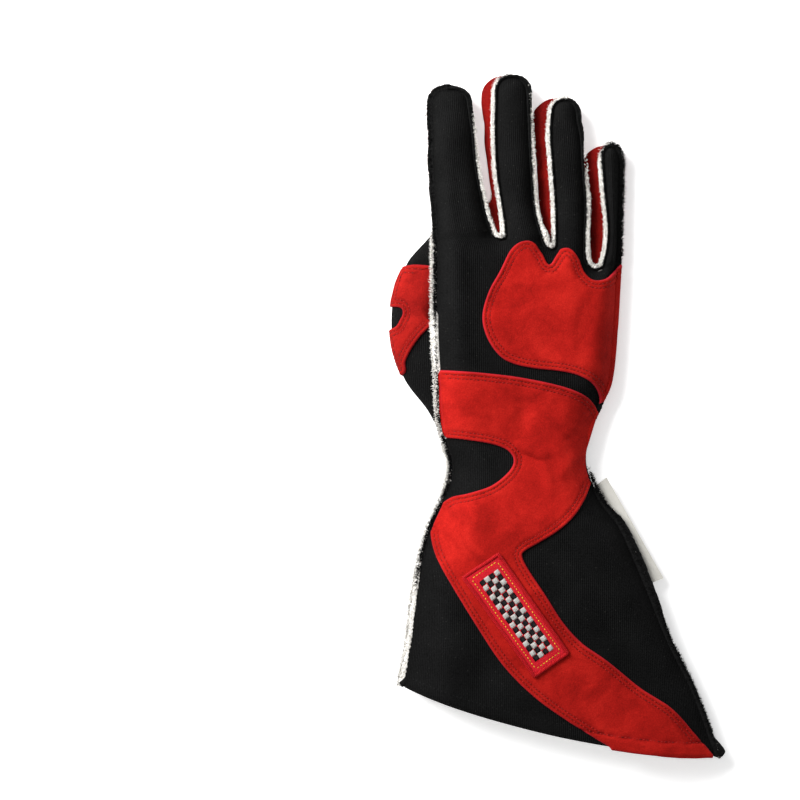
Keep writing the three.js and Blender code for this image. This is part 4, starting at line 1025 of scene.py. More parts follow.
@dataclass(frozen=True)
class Suede(Finish):
    """Split cowhide, napped on its flesh side: matt, clouded where the nap lies over, lighter at a cut edge,
    partly in painted highlight.
    """

    shade: str
    deep: str
    lifted: str
    # cut: a lighter, pinker line along cut edges, partly the edge's own colour and partly painted highlight
    cut: str
    # the colour of the painted shade in the pits along stitches and in the hem's crease
    pit_shade: str
    cloud_mm: float = 22.0
    blotch_mm: float = 3.2
    grain_mm: float = 0.7  # coarser than real nap, which is too fine to show
    sheen: float = 0.06

    def pattern(self, add: Add, spot: Socket) -> Look:
        """Draw the nap's clouds and grain, its cut edge partly in painted highlight, and painted shade in the
        pits along stitches.
        """
        noises = ((self.cloud_mm, 4.0, 0.55, 0.6), (self.blotch_mm, 3.0, 0.6, 0.0),
                  (self.grain_mm, 3.0, 0.75, 0.0))
        cloud, blotch, grain = (
            add("TexNoise", Vector=spot, Scale=per(pitch), Detail=detail, Roughness=rough, Distortion=bent)
            for pitch, detail, rough, bent in noises)
        mottle = add("Math", MULTIPLY_ADD, blotch, 0.2, cloud)
        speck = add("Math", MULTIPLY_ADD, grain, 0.9, mottle)
        level = add("MapRange", None, speck, 0.74, 1.36, 0.0, 1.0)
        ramp = add("ValToRGB", Fac=level)
        stops = ramp.color_ramp.elements
        stops[0].color, stops[1].color = colour(self.deep), colour(self.lifted)
        stops.new(0.5).color = colour(self.shade)
        edge = add("Attribute", {"attribute_name": "edge_mm"}).outputs["Fac"]
        # a thin line along each cut edge: partly the edge's own colour, partly painted highlight
        rim = add("MapRange", None, edge, 0.25, 0.9, 0.75, 0.0)
        tone = add("Mix", COLOURS, rim, in_6=ramp, in_7=colour(self.cut))
        # painted shade, darkest in the pits along rows of stitches and in the hem's crease
        pressed = add("Attribute", {"attribute_name": "pressed"}).outputs["Fac"]
        painted_pit_shade = add("Math", MULTIPLY, pressed, 0.42)
        sunk = add("Mix", COLOURS, painted_pit_shade, in_6=tone.outputs[2], in_7=colour(self.pit_shade))
        height = add("Math", MULTIPLY_ADD, blotch, 1.2, grain)
        sheen = {"Sheen_Weight": self.sheen, "Sheen_Roughness": 0.45, "Sheen_Tint": colour(self.lifted)}
        relief = {"Strength": 0.7, "Distance": 0.22 * MM, "Height": height}
        return sunk.outputs[2], relief, {"Roughness": 0.95, "Specular_IOR_Level": 0.06, **sheen}


@dataclass(frozen=True)
class Pile(Finish):
    """Cut or looped textile pile: matt, broken up into small tufts, with painted shade in the hollows."""

    fibre: str
    hollow_shade: str
    tuft_mm: float = 0.9
    hair_mm: float = 0.35
    sheen: float = 0.1

    def pattern(self, add: Add, spot: Socket) -> Look:
        """Draw tufts with darker hollows between them, the darkening being painted shade."""
        tufts = add("TexVoronoi", Vector=spot, Scale=per(self.tuft_mm))
        fine = add("TexNoise", Vector=spot, Scale=per(self.hair_mm), Detail=2.0)
        depth = add("Math", MULTIPLY_ADD, fine, -0.5, tufts)
        share = add("MapRange", None, depth, 0.0, 0.6, 0.0, 1.0)
        # the hollows between tufts are darkened: painted shade
        tone = add("Mix", COLOURS, share, in_6=colour(self.fibre), in_7=colour(self.hollow_shade))
        relief = {"settings": {"invert": True}, "Strength": 0.8, "Distance": 0.4 * MM, "Height": depth}
        matt = {"Roughness": 0.95, "Specular_IOR_Level": 0.15, "Sheen_Weight": self.sheen}
        return tone.outputs[2], relief, matt


@dataclass(frozen=True)
class Thread(Finish):
    """Twisted polyester sewing thread: slightly glossy, with painted shade in the grooves of its ply, as
    slanting dark lines.
    """

    strand: str
    groove: str
    twist_mm: float = 0.5

    def pattern(self, add: Add, spot: Socket) -> Look:
        """Draw the ply across the thread, its grooves darkened in painted shade."""
        turned = add("Mapping", Vector=spot, Rotation=(0.0, 0.0, 0.7))
        bands = {"Scale": per(self.twist_mm) / math.pi / 6.4, "Distortion": 1.5, "Detail": 1.0}
        ply = add("TexWave", {"bands_direction": "X"}, Vector=turned, **bands).outputs["Fac"]
        # the grooves between plies are darkened: painted shade
        tone = add("Mix", COLOURS, ply, in_6=colour(self.groove), in_7=colour(self.strand))
        relief = {"Strength": 0.5, "Distance": 0.08 * MM, "Height": ply}
        return tone.outputs[2], relief, {"Roughness": 0.6, "Specular_IOR_Level": 0.2}


@dataclass(frozen=True)
class Twill(Finish):
    """Woven or satin-stitched badge cloth: rayon yarns side by side, with a soft lustre along the yarn."""

    yarn: str
    gap: str
    yarn_mm: float = 0.55
    turn: float = 0.6
    roughness: float = 0.5

    def pattern(self, add: Add, spot: Socket) -> Look:
        """Draw slanting yarns that float over a few others, with painted shade in the gaps between them and
        uneven wear.
        """
        turned = add("Mapping", Vector=spot, Rotation=(0.0, 0.0, self.turn))
        place = add("SeparateXYZ", None, turned)
        pitch = self.yarn_mm * MM
        across = add("Math", MULTIPLY, place.outputs[0], TURN / pitch)
        along = add("Math", MULTIPLY, place.outputs[1], TURN / (3.4 * pitch))
        lean = add("Math", MULTIPLY_ADD, across, 0.5, along)
        yarns = add("Math", SINE, across)
        weave = add("Math", MULTIPLY_ADD, add("Math", SINE, lean), 0.5, yarns)
        noise = add("TexNoise", Vector=spot, Scale=per(2.0), Detail=3.0)
        share = add("MapRange", None, weave, -1.4, 0.9, 0.0, 1.0)
        wear = add("MapRange", None, noise, 0.3, 0.6, 0.7, 1.0)
        fade = add("Math", MULTIPLY, share, wear)
        # the gaps between yarns are darkened: painted shade
        tone = add("Mix", COLOURS, fade, in_6=colour(self.gap), in_7=colour(self.yarn))
        relief = {"Strength": 0.7, "Distance": 0.15 * MM, "Height": weave}
        return tone.outputs[2], relief, {"Roughness": self.roughness, "Specular_IOR_Level": 0.12}


@dataclass(frozen=True)
class Paper(Finish):
    """Matt white background paper, lit through so that it reads as white with only soft shadows."""

    shade: str
    glow: float = 0.44

    def pattern(self, add: Add, spot: Socket) -> Look:
        """Give the paper a faint tooth."""
        tooth = add("TexNoise", Vector=spot, Scale=900.0, Detail=2.0)
        return colour(self.shade), {"Strength": 0.1, "Distance": 0.05 * MM, "Height": tooth}, {
            "Roughness": 0.9, "Emission_Color": (1.0, 1.0, 1.0, 1.0), "Emission_Strength": self.glow}


FINISHES = {
    "knit": RibKnit("aramid_rib_knit", "#030303", "#191919", "#3f3e3b"),
    "red_suede": Suede("red_split_suede", "#9b1611", "#780e0a", "#b7221a", "#a8202d", "#5a0507"),
    # a darker copy of the red suede for the thumb's pad: painted shade
    "shaded_suede": Suede("red_suede_painted_shade", "#831310", "#650b09", "#a01c16", "#8c1820", "#4a0405"),
    # a darker copy of the red suede for the walls between fingers: painted shade
    "shaded_wall_suede": Suede("red_suede_painted_shade_between_fingers", "#6d0e0b", "#4f0806", "#87160f", "#74101a", "#300203"),
    "black_suede": Suede("black_split_suede", "#0f0f10", "#080809", "#1c1c1d", "#1a181a", "#030303",
                         sheen=0.04),
    "fleece": Pile("terry_fleece_lining", "#f4f2ee", "#b4afa5"),
    "knit_edge": Pile("cut_knit_edge", "#131313", "#030303", sheen=0.0),
    "fuzz_black": Pile("black_cut_fibre", "#0d0d0d", "#050505", sheen=0.0),
    "fuzz_white": Pile("white_cut_fibre", "#f2f0ec", "#d8d4cc"),
    "fuzz_red": Pile("red_cut_fibre", "#96202a", "#5d0c10"),
    "red_thread": Thread("red_polyester_thread", "#9c1813", "#5a0807"),
    "black_thread": Thread("black_polyester_thread", "#0c0c0c", "#030303"),
    "yellow_thread": Thread("yellow_polyester_thread", "#dfae33", "#a87c1c"),
    "patch": Twill("red_satin_twill", "#dd1226", "#9c0a18", roughness=0.6),
    "patch_rim": Twill("red_merrowed_edge", "#cf1a22", "#7c090e", yarn_mm=0.5, turn=-0.3),
    "check_black": Twill("black_satin_stitch", "#101012", "#040405", yarn_mm=0.45, turn=0.62),
    "check_white": Twill("white_satin_stitch", "#cfcfcb", "#8c8c86", yarn_mm=0.45, turn=0.62),
    "label": Twill("woven_label_tape", "#e4e2db", "#cfccc4", yarn_mm=0.35, turn=0.4, roughness=0.75),
    "paper": Paper("white_paper_surface", "#f7f7f7"),
}
WALLS = {"knit": (1.8, "knit_edge"), "red_suede": (SUEDE_WALL, "red_suede")}  # thickness and cut edge


class Fibre(Enum):
    """The colours of cut fibres along a raw edge, each with its finish."""

    BLACK = "fuzz_black"
    WHITE = "fuzz_white"
    RED = "fuzz_red"


@cache
def finish(name: str) -> bpy.types.Material:
    """Give a finish by name, made once."""
    return FINISHES[name].make()


UPWARD = np.array([0.0, 0.0, 1.0])
INTO_MOUTH = (0.2, 0.98)  # the way from the mouth's edge up the gauntlet
ABOVE_ALL = 90.0  # a height clear of the glove, from which pieces are laid on it
BESIDE = 12.0  # a height near that of its side seams
ROUND_MM = 0.9  # from the edge of a sewn-on piece to where it has its full thickness
PRESS_MM = 0.42  # half the width that a row of stitches presses down
EDGE_LINES = (0.3, ROUND_MM)  # from an outline to the lines of points that shape its edge
STITCH_SIDES = 6
STITCH_STATIONS = (  # of each ring of a stitch: its place along, its width and its rise
    (-0.5, 0.25, -0.34), (-0.32, 0.85, -0.04), (0.0, 1.0, 0.06), (0.32, 0.85, -0.04), (0.5, 0.25, -0.34))
BAND_SIDES = 10
EVEN: Profile = ((0.0, 1.0), (1.0, 1.0))
FIBRE_FACES = np.array([
    (0, 2, 1), (0, 1, 4), (0, 4, 3), (1, 2, 5), (1, 5, 4), (2, 0, 3), (2, 3, 5), (3, 4, 6), (4, 5, 6),
    (5, 3, 6)])


def make_object(
    name: str, points: Array, faces: list | Array, finishes: list[str],
    kinds: Array | None = None, uv: Array | None = None, edge_mm: Value = 9.0,
    sharp_degrees: float = 50.0,
) -> Piece:
    """Make a mesh object from points in millimetres.

    Args:
        name: The piece's name.
        points: Its points.
        faces: Its faces.
        finishes: Its finishes.
        kinds: Which of them each face takes.
        uv: A place on the cloth for each point, in millimetres.
        edge_mm: Each point's distance from a cut edge, for the finish.
        sharp_degrees: Edges sharper than this stay sharp.

    Returns:
        The object, at the origin.
    """
    mesh = bpy.data.meshes.new(name)
    mesh.from_pydata(((points + CENTRE_SHIFT) * MM).tolist(), [], [list(map(int, face)) for face in faces])
    for one in finishes:
        mesh.materials.append(finish(one))
    if kinds is not None:
        mesh.polygons.foreach_set("material_index", kinds.astype(np.int32))
    if uv is not None:
        corner = np.empty(len(mesh.loops), np.int32)
        mesh.loops.foreach_get("vertex_index", corner)
        mesh.uv_layers.new(name="cloth").data.foreach_set("uv", (uv[corner] * MM).ravel())
    set_values(mesh, "edge_mm", np.broadcast_to(edge_mm, len(points)))
    mesh.update()
    piece = bpy.data.objects.new(name, mesh)
    bpy.context.scene.collection.objects.link(piece)
    bpy.ops.object.select_all(action="DESELECT")
    piece.select_set(True)
    bpy.context.view_layer.objects.active = piece
    bpy.ops.object.shade_smooth_by_angle(angle=math.radians(sharp_degrees))
    return piece


def set_values(mesh: bpy.types.Mesh, name: str, values: Array) -> None:
    """Give each point a value that a finish can read."""
    mesh.attributes.new(name, "FLOAT", "POINT").data.foreach_set("value", values.astype(np.float32))


def stitch_object(
    name: str, threads: Threads, thread: str, length: float = 1.5, thick: float = 0.27,
) -> Piece:
    """Model stitches, each a short thread that dips into its holes.

    Args:
        name: The piece's name.
        threads: Their middles, directions and normals.
        thread: Their finish.
        length: The visible length of one.
        thick: The thread's radius.

    Returns:
        One object with all of them.
    """
    middle, along, up = threads
    across = unit(np.cross(up, along))
    up = np.cross(along, across)
    rings = []
    for place, width, rise in STITCH_STATIONS:
        for a in np.arange(STITCH_SIDES) * TURN / STITCH_SIDES:
            rings.append(middle + along * (place * length) + across * (math.cos(a) * thick * width)
                         + up * (math.sin(a) * thick * 0.8 * width + rise))
    around, ends = tube_faces(len(STITCH_STATIONS), STITCH_SIDES)
    outward = flipped(around), ends[:, ::-1]
    faces = [face for part in outward for face in repeated(part, len(middle), len(rings)).tolist()]
    return make_object(name, np.stack(rings, axis=1).reshape(-1, 3), faces, [thread], sharp_degrees=80)


def halfway(line: Array) -> Array:
    """Find the middles between a line's points."""
    return (line[:-1] + line[1:]) / 2


def threads_along(line: Array, step: float, rise: float) -> Threads:
    """Turn a line of places and normals to stitches, a step apart and raised a little."""
    spaced = respaced(line, step)
    middle = halfway(spaced)
    up = unit(middle[:, 3:])
    return middle[:, :3] + up * rise, unit(np.diff(spaced[:, :3], axis=0)), up


class Face:
    """The outside of a raised panel, on which pieces are laid from above or below."""

    def __init__(self, cloth: Cloth) -> None:
        """Index the panel's faces."""
        self.up = cloth.facing
        faces = np.vstack(cloth.quads).tolist()
        self.tree = BVHTree.FromPolygons([Vector(p) for p in cloth.points.tolist()], faces)
        self.mouth = cloth.points[cloth.lines[0]][:, :2]
        self.ring = np.vstack([cloth.points[cloth.outline][:, :2], self.mouth[-2:0:-1]])

    def height(self, x: float, y: float) -> float:
        """Give the cloth's height at a place, or past an edge one that drops away from it."""
        hit = self.tree.ray_cast(Vector((x, y, ABOVE_ALL * self.up)), Vector((0, 0, -self.up)))[0]
        if hit is not None:
            return hit.z
        hit = self.tree.find_nearest(Vector((x, y, BESIDE)))[0]
        return hit.z - self.up * 0.25 * math.hypot(hit.x - x, hit.y - y) ** 1.6

    def lift(self, plan: Array) -> tuple[Array, Array]:
        """Lay plan points on the cloth.

        Args:
            plan: The points in plan.

        Returns:
            The points on the cloth and the outward normals there.
        """
        reach = 0.9
        ways = np.array([(0, 0), (reach, 0), (-reach, 0), (0, reach), (0, -reach)])
        heights = np.array([[self.height(x + dx, y + dy) for dx, dy in ways] for x, y in plan.tolist()])
        slope = np.clip((heights[:, [1, 3]] - heights[:, [2, 4]]) / (2 * reach), -3, 3)
        normals = unit(np.column_stack([-slope, np.ones(len(plan))])) * self.up
        return np.column_stack([plan, heights[:, 0]]), normals

    def trim(self, ring: Array, insets: tuple[float, float, float]) -> tuple[Array, Array]:
        """Bring the points of an outline that pass the panel's edge back to it.

        Args:
            ring: The outline's points in plan.
            insets: How far inside the thumb side, the little finger side and the mouth they stay.

        Returns:
            The points, and which of them were moved.
        """
        thumb_side, little_side, mouth_side = insets
        away, place = nearest_on(ring, self.ring, True)
        at_mouth = nearest_on(place, self.mouth)[0] < 0.2
        left = place[:, 0] < MIDDLE_X
        if little_side < 0:  # wraps over the side of the hand, but not over that of the gauntlet
            little_side = blend(little_side, 0.3, smoothstep(-place[:, 1], 4.0, 30.0))
        inset = np.where(at_mouth, mouth_side, np.where(left, thumb_side, little_side))
        moved = np.where(inside(ring, self.ring), away, -away) < inset
        inward = np.where(at_mouth[:, None], INTO_MOUTH, np.where(left[:, None], [1.0, 0.0], [-1.0, 0.0]))
        return np.where(moved[:, None], place + inward * inset[:, None], ring), moved


@dataclass
class Applique:
    """A flat piece sewn on a panel: its outline, thickness, layer gap and rows of stitches."""

    name: str
    runs: Runs
    finish: str
    thread: str
    gap: float = LAYER_GAP
    wall: float = SUEDE_WALL
    stitch_rows: tuple[float, ...] = (2.2, 4.3)
    stitch_mm: float = 2.1
    step: float = 1.1
    spacing: float = 1.7
    puff: float = 0.22
    groove: float = 0.34
    insets: tuple[float, float, float] = (0.2, -2.8, -1.0)
    hem_mm: float | None = None

    def build(self, lift: Lift, face: Face | None = None) -> list[Piece]:
        """Cut the piece, lay it on its panel and sew it down.

        Args:
            lift: Lays plan points on the panel.
            face: The panel, where the outline ends at its edge.

        Returns:
            The piece and its stitches.
        """
        ring, loose = self._cut(face)
        plan, faces = self._fill(ring)
        points, normals = lift(plan)
        edge = nearest_on(plan, ring, True)[0]
        rise, pressed = self._relief(plan, edge, ring[loose], face)
        up = np.cross(points[faces[:, 1]] - points[faces[:, 0]], points[faces[:, 2]] - points[faces[:, 0]])
        if (up * normals[faces[:, 0]]).sum() < 0:
            faces = faces[:, ::-1]
        closed, _ = shell_faces(faces, len(plan))
        both = np.vstack([points + normals * self.gap, points + normals * rise[:, None]])
        piece = make_object(self.name, both, closed, [self.finish], uv=np.tile(plan, (2, 1)),
                            edge_mm=np.tile(edge, 2), sharp_degrees=60)
        set_values(piece.data, "pressed", np.tile(pressed, 2))
        threads = self._stitches(ring, loose, lift, face)
        return [piece, stitch_object(f"{self.name}_stitches", threads, self.thread)]

    def _cut(self, face: Face | None) -> tuple[Array, Array]:
        """Draw the outline.

        Args:
            face: The panel, where the outline ends at its edge.

        Returns:
            The outline's points, and which of them lie on a free edge.
        """
        ring = closed_outline(self.runs, self.step)
        loose = np.ones(len(ring), bool)
        if face is not None:
            ring, moved = face.trim(ring, self.insets)
            keep = np.linalg.norm(ring - np.roll(ring, 1, axis=0), axis=1) > 0.25
            ring, loose = ring[keep], ~moved[keep]
        while (sharp := spikes(ring)).any():
            ring, loose = ring[~sharp], loose[~sharp]
        return ring, loose

    def _fill(self, ring: Array) -> tuple[Array, Array]:
        """Mesh the inside of an outline, with points close together near its edge and stitches.

        Args:
            ring: The outline.

        Returns:
            The points in plan and the triangles.
        """
        distances = [*EDGE_LINES, *(row + side for row in self.stitch_rows for side in (-0.5, 0, 0.5))]
        layers = [ring]
        for distance in distances:
            line = ring + inward_of(ring) * distance
            line = line[inside(line, ring)]
            layers.append(line[nearest_on(line, ring, True)[0] > distance - 0.06])
        low, high = ring.min(0), ring.max(0)
        xs, ys = np.arange(low[0], high[0], self.spacing), np.arange(low[1], high[1], self.spacing * 0.87)
        grid = np.array([(x + (k % 2) * self.spacing / 2, y) for k, y in enumerate(ys) for x in xs])
        grid = grid[inside(grid, ring)]
        layers.append(grid[nearest_on(grid, ring, True)[0] > distances[-1] + 0.5 * self.spacing])
        sides = [(k, (k + 1) % len(ring)) for k in range(len(ring))]
        solved = delaunay_2d_cdt([Vector(p) for p in np.vstack(layers).tolist()], sides, [], 1, 1e-5)
        used, faces = np.unique(np.array([f for f in solved[2] if len(f) == 3]), return_inverse=True)
        return np.array([tuple(v) for v in solved[0]])[used], faces.reshape(-1, 3)

    def _relief(self, plan: Array, edge: Array, free_edge: Array, face: Face | None) -> tuple[Array, Array]:
        """Shape the outside: rounded edges, a puff beside the stitches, and a hem.

        Args:
            plan: The points.
            edge: Their distances from the outline.
            free_edge: The outline's points that are sewn down.
            face: The panel, for a hem at its mouth.

        Returns:
            Each point's height, and how far stitches press it down, which also sets the painted shade there.
        """
        sewn = np.min(np.linalg.norm(plan[:, None] - free_edge[None, ::2], axis=2), axis=1)
        sewn = np.where(np.abs(sewn - edge) < ROUND_MM, edge, sewn)
        rise = self.gap + self.wall * (0.35 + 0.65 * rounded(edge, ROUND_MM))
        rise = rise + self.puff * np.sin(math.pi * np.clip(sewn / self.stitch_rows[0], 0, 1))
        pressed = sum(ridge_at(sewn - row, PRESS_MM) for row in self.stitch_rows)
        if self.hem_mm is not None:
            from_mouth = nearest_on(plan, face.mouth)[0]
            rise = rise + 0.7 * smoothstep(from_mouth, self.hem_mm, self.hem_mm - 1.6)
            # the hem's crease sinks and takes painted shade in the finish
            crease = 1.7 * ridge_at(from_mouth - self.hem_mm, 0.6)
            pressed = np.maximum(pressed * (from_mouth > self.hem_mm), crease)
        return rise - self.groove * pressed + 0.1 * smooth_noise(plan, 9.0, len(self.name)), pressed

    def _stitches(self, ring: Array, loose: Array, lift: Lift, face: Face | None) -> Threads:
        """Place stitches along rows inside the free edges, and along a hem.

        Args:
            ring: The outline.
            loose: Which of its points lie on a free edge.
            lift: Lays plan points on the panel.
            face: The panel, for a hem at its mouth.

        Returns:
            The stitches' middles, directions and normals.
        """
        lines = []
        if self.hem_mm is not None:
            hem = respaced(face.mouth + np.array([0.2, 0.98 * self.hem_mm]), self.stitch_mm)
            lines.append(hem[inside(hem, ring)])
        for row in self.stitch_rows:
            line = ring + inward_of(ring) * row
            good = loose & inside(line, ring) & (nearest_on(line, ring, True)[0] > row - 0.12)
            if self.hem_mm is not None:
                good &= nearest_on(line, face.mouth)[0] > self.hem_mm
            start = int(np.argmin(good)) if not good.all() else 0
            line, good = np.roll(line, -start, axis=0), np.roll(good, -start)
            jumps = np.linalg.norm(np.diff(line, axis=0), axis=1) > 4 * self.step
            breaks = np.flatnonzero(~good[:-1] | ~good[1:] | jumps) + 1
            lines += [respaced(part, self.stitch_mm) for part in np.split(line, breaks) if len(part) > 3]
        plan = np.vstack([halfway(line) for line in lines])
        along = unit(np.vstack([np.diff(line, axis=0) for line in lines]))
        points, normals = lift(plan)
        ahead, _ = lift(plan + along * 0.5)
        return points + normals * (self.gap + self.wall - self.groove * 0.35), unit(ahead - points), normals


@dataclass(frozen=True)
class Band:
    """A soft layer of a raw seam: where it starts, how wide and thick it is, its finish and how it swells."""

    start: float
    width: float
    lift: float
    thick: float
    finish: str
    rough: float = 0.25
    profile: Profile = EVEN

    def mesh(self, path: Array, sideways: Array, measure: Array, seed: int) -> tuple[Array, list]:
        """Model the layer as a soft uneven cord, flattened.

        Args:
            path: The seam's inner line.
            sideways: Unit vectors away from the panel.
            measure: Each point's place on the profile.
            seed: Its unevenness.

        Returns:
            Points and faces.
        """
        number = np.arange(len(path))
        taper = np.minimum(1, np.minimum(number, number[::-1]) / 3 + 0.25)
        swell = np.maximum(along_profile(self.profile, measure), 0.12)
        width = self.width * (1 + 0.12 * smooth_noise(path, 17.0, seed)) * swell
        sunk = self.lift - 1.8 * (1 - np.minimum(swell, 1)) ** 2
        half = 0.5 * self.thick * taper * np.minimum(np.sqrt(swell), 1.25)
        rings = []
        for a in np.arange(BAND_SIDES) * TURN / BAND_SIDES:
            out = self.start + width * (0.5 + 0.5 * math.cos(a) * taper)
            rings.append(path + sideways * out[:, None] + UPWARD * (sunk + half * math.sin(a))[:, None])
        points = np.stack(rings, axis=1)
        radial = unit((points - points.mean(1, keepdims=True)).reshape(-1, 3))
        points = points.reshape(-1, 3)
        tufts = smooth_noise(points, 1.7, seed + 1) + 0.6 * smooth_noise(points, 0.9, seed + 2)
        around, ends = tube_faces(len(path), BAND_SIDES)
        return points + radial * (self.rough * tufts)[:, None], [*around.tolist(), *ends.tolist()]


@dataclass(frozen=True)
class Fringe:
    """Cut fibres along a seam: where they grow, how thick they stand, how long they are, and their colour."""

    start: float
    spread: float
    per_mm: float
    length: float
    fibre: Fibre
    lift: float = 0.3
    outward: float = 1.0
    upward: float = 0.5
    profile: Profile = EVEN

    def mesh(self, path: Array, sideways: Array, measure: Array, seed: int) -> tuple[Array, list]:
        """Model the fibres as thin bent spikes.

        Args:
            path: The seam's inner line.
            sideways: Unit vectors away from the panel.
            measure: Each point's place on the profile.
            seed: Their scatter.

        Returns:
            Points and triangles.
        """
        rng = np.random.default_rng(seed)
        along = arc_lengths(path)
        clump = 0.5 + 0.5 * smooth_noise(np.column_stack([along, along * 0]), 7.0, seed)
        place = rng.uniform(0, along[-1], int(along[-1] * self.per_mm) * 2)
        dense = along_profile(self.profile, np.interp(place, along, measure))
        dense = dense * (0.25 + 0.5 * np.clip(np.interp(place, along, clump), 0, 1))
        place = place[rng.random(len(place)) < dense]
        n = len(place)
        root, side = read_along(path, place, along), unit(read_along(sideways, place, along))
        root = root + side * (self.start + rng.uniform(0, 1, n) * self.spread)[:, None]
        root[:, 2] += self.lift + rng.normal(0, 0.25, n)
        length = self.length * rng.uniform(0.45, 1.35, n)[:, None]
        forward = np.cross(side, UPWARD) * rng.normal(0, 0.7, n)[:, None]
        aim = unit(side * self.outward + forward + UPWARD * rng.normal(self.upward, 0.45, n)[:, None])
        curl = unit(rng.normal(size=(n, 3))) * 0.5
        middle = root + aim * length * 0.55
        tip = middle + unit(aim + curl) * length * 0.5
        across = unit(np.cross(aim, rng.normal(size=(n, 3))))
        other = np.cross(aim, across)
        thick = rng.uniform(0.13, 0.24, n)[:, None]
        corners = [centre + (across * math.cos(a) + other * math.sin(a)) * thick * scale
                   for centre, scale in ((root, 1.0), (middle, 0.75)) for a in (0, TURN / 3, 2 * TURN / 3)]
        points = np.stack([*corners, tip], axis=1)
        return points.reshape(-1, 3), repeated(FIBRE_FACES, n, points.shape[1]).tolist()


def along_profile(profile: Profile, measure: Array) -> Array:
    """Read a profile at each measure of a seam."""
    return np.interp(measure, *np.array(profile).T)


@dataclass
class RawSeam:
    """An outside seam with cut edges: its layers and its fringe."""

    name: str
    path: Array
    bands: list[Band]
    fringes: list[Fringe]
    seed: int
    by_height: bool = False  # profiles are read along Y, not by the share of the seam's length

    def build(self) -> list[Piece]:
        """Model the layers as one piece and the fringe as another."""
        along = arc_lengths(self.path)
        measure = self.path[:, 1] if self.by_height else along / along[-1]
        sideways = left_of(self.path)
        for _ in range(4):
            sideways[1:-1] = unit(sideways[:-2] + sideways[1:-1] * 2 + sideways[2:])
        jobs = ((self.name, self.bands, 5, [band.finish for band in self.bands]),
                (f"{self.name}_fringe", self.fringes, 31, [fringe.fibre.value for fringe in self.fringes]))
        made = []
        for name, layers, jump, finishes in jobs:
            parts = []
            for number, layer in enumerate(layers):
                parts.append(layer.mesh(self.path, sideways, measure, self.seed + jump * number))
            points, faces, kinds = merged(parts)
            made.append(make_object(name, points, faces, finishes, kinds, sharp_degrees=180))
        return made


@dataclass
class Assembly:
    """A group of pieces, each with the nodes that it stands for and its slot."""

    made: list[tuple[Piece, tuple[str, ...], str]] = field(init=False, default_factory=list)

    def add(self, slot: str, pieces: Sequence[Piece], *nodes: str) -> None:
        """Add pieces, of which the first stands for the nodes."""
        for number, piece in enumerate(pieces):
            self.made.append((piece, () if number else nodes, slot))


WALL_HALF = 70  # steps along a wall from its web to a fingertip
WALL_LAYERS = 9  # lines of points from a wall's upper edge to its lower one
WALL_ROOM = 1.2  # how far the wall goes on past each of its seams
WALL_FULLNESS: tuple[Profile, ...] = (  # how far it bellies at the palm, from one finger round to the next
    ((0.0, 0.0), (0.5, 0.0), (0.59, 1.0), (0.8, 1.5), (0.87, 3.6), (0.93, 3.6), (0.97, 2.4), (1.0, 0.6)),
    ((0.0, 0.0), (0.5, 0.0), (0.59, 1.0), (0.79, 1.5), (0.87, 4.2), (0.93, 4.4), (0.97, 3.2), (1.0, 1.6)),
    ((0.0, 0.0), (0.5, 0.0), (0.59, 1.6), (0.79, 3.0), (0.87, 4.2), (0.93, 3.8), (0.97, 2.6), (1.0, 0.8)),
)
THUMB_STEPS = 8  # rows in each section of the thumb's back
THUMB_COLUMNS = 57
THUMB_MIDDLE = (-80.0, 0.0, 5.0)  # a place inside the thumb
THUMB_LOW = 6.2  # the height at which the thumb's pad ends on the outer side


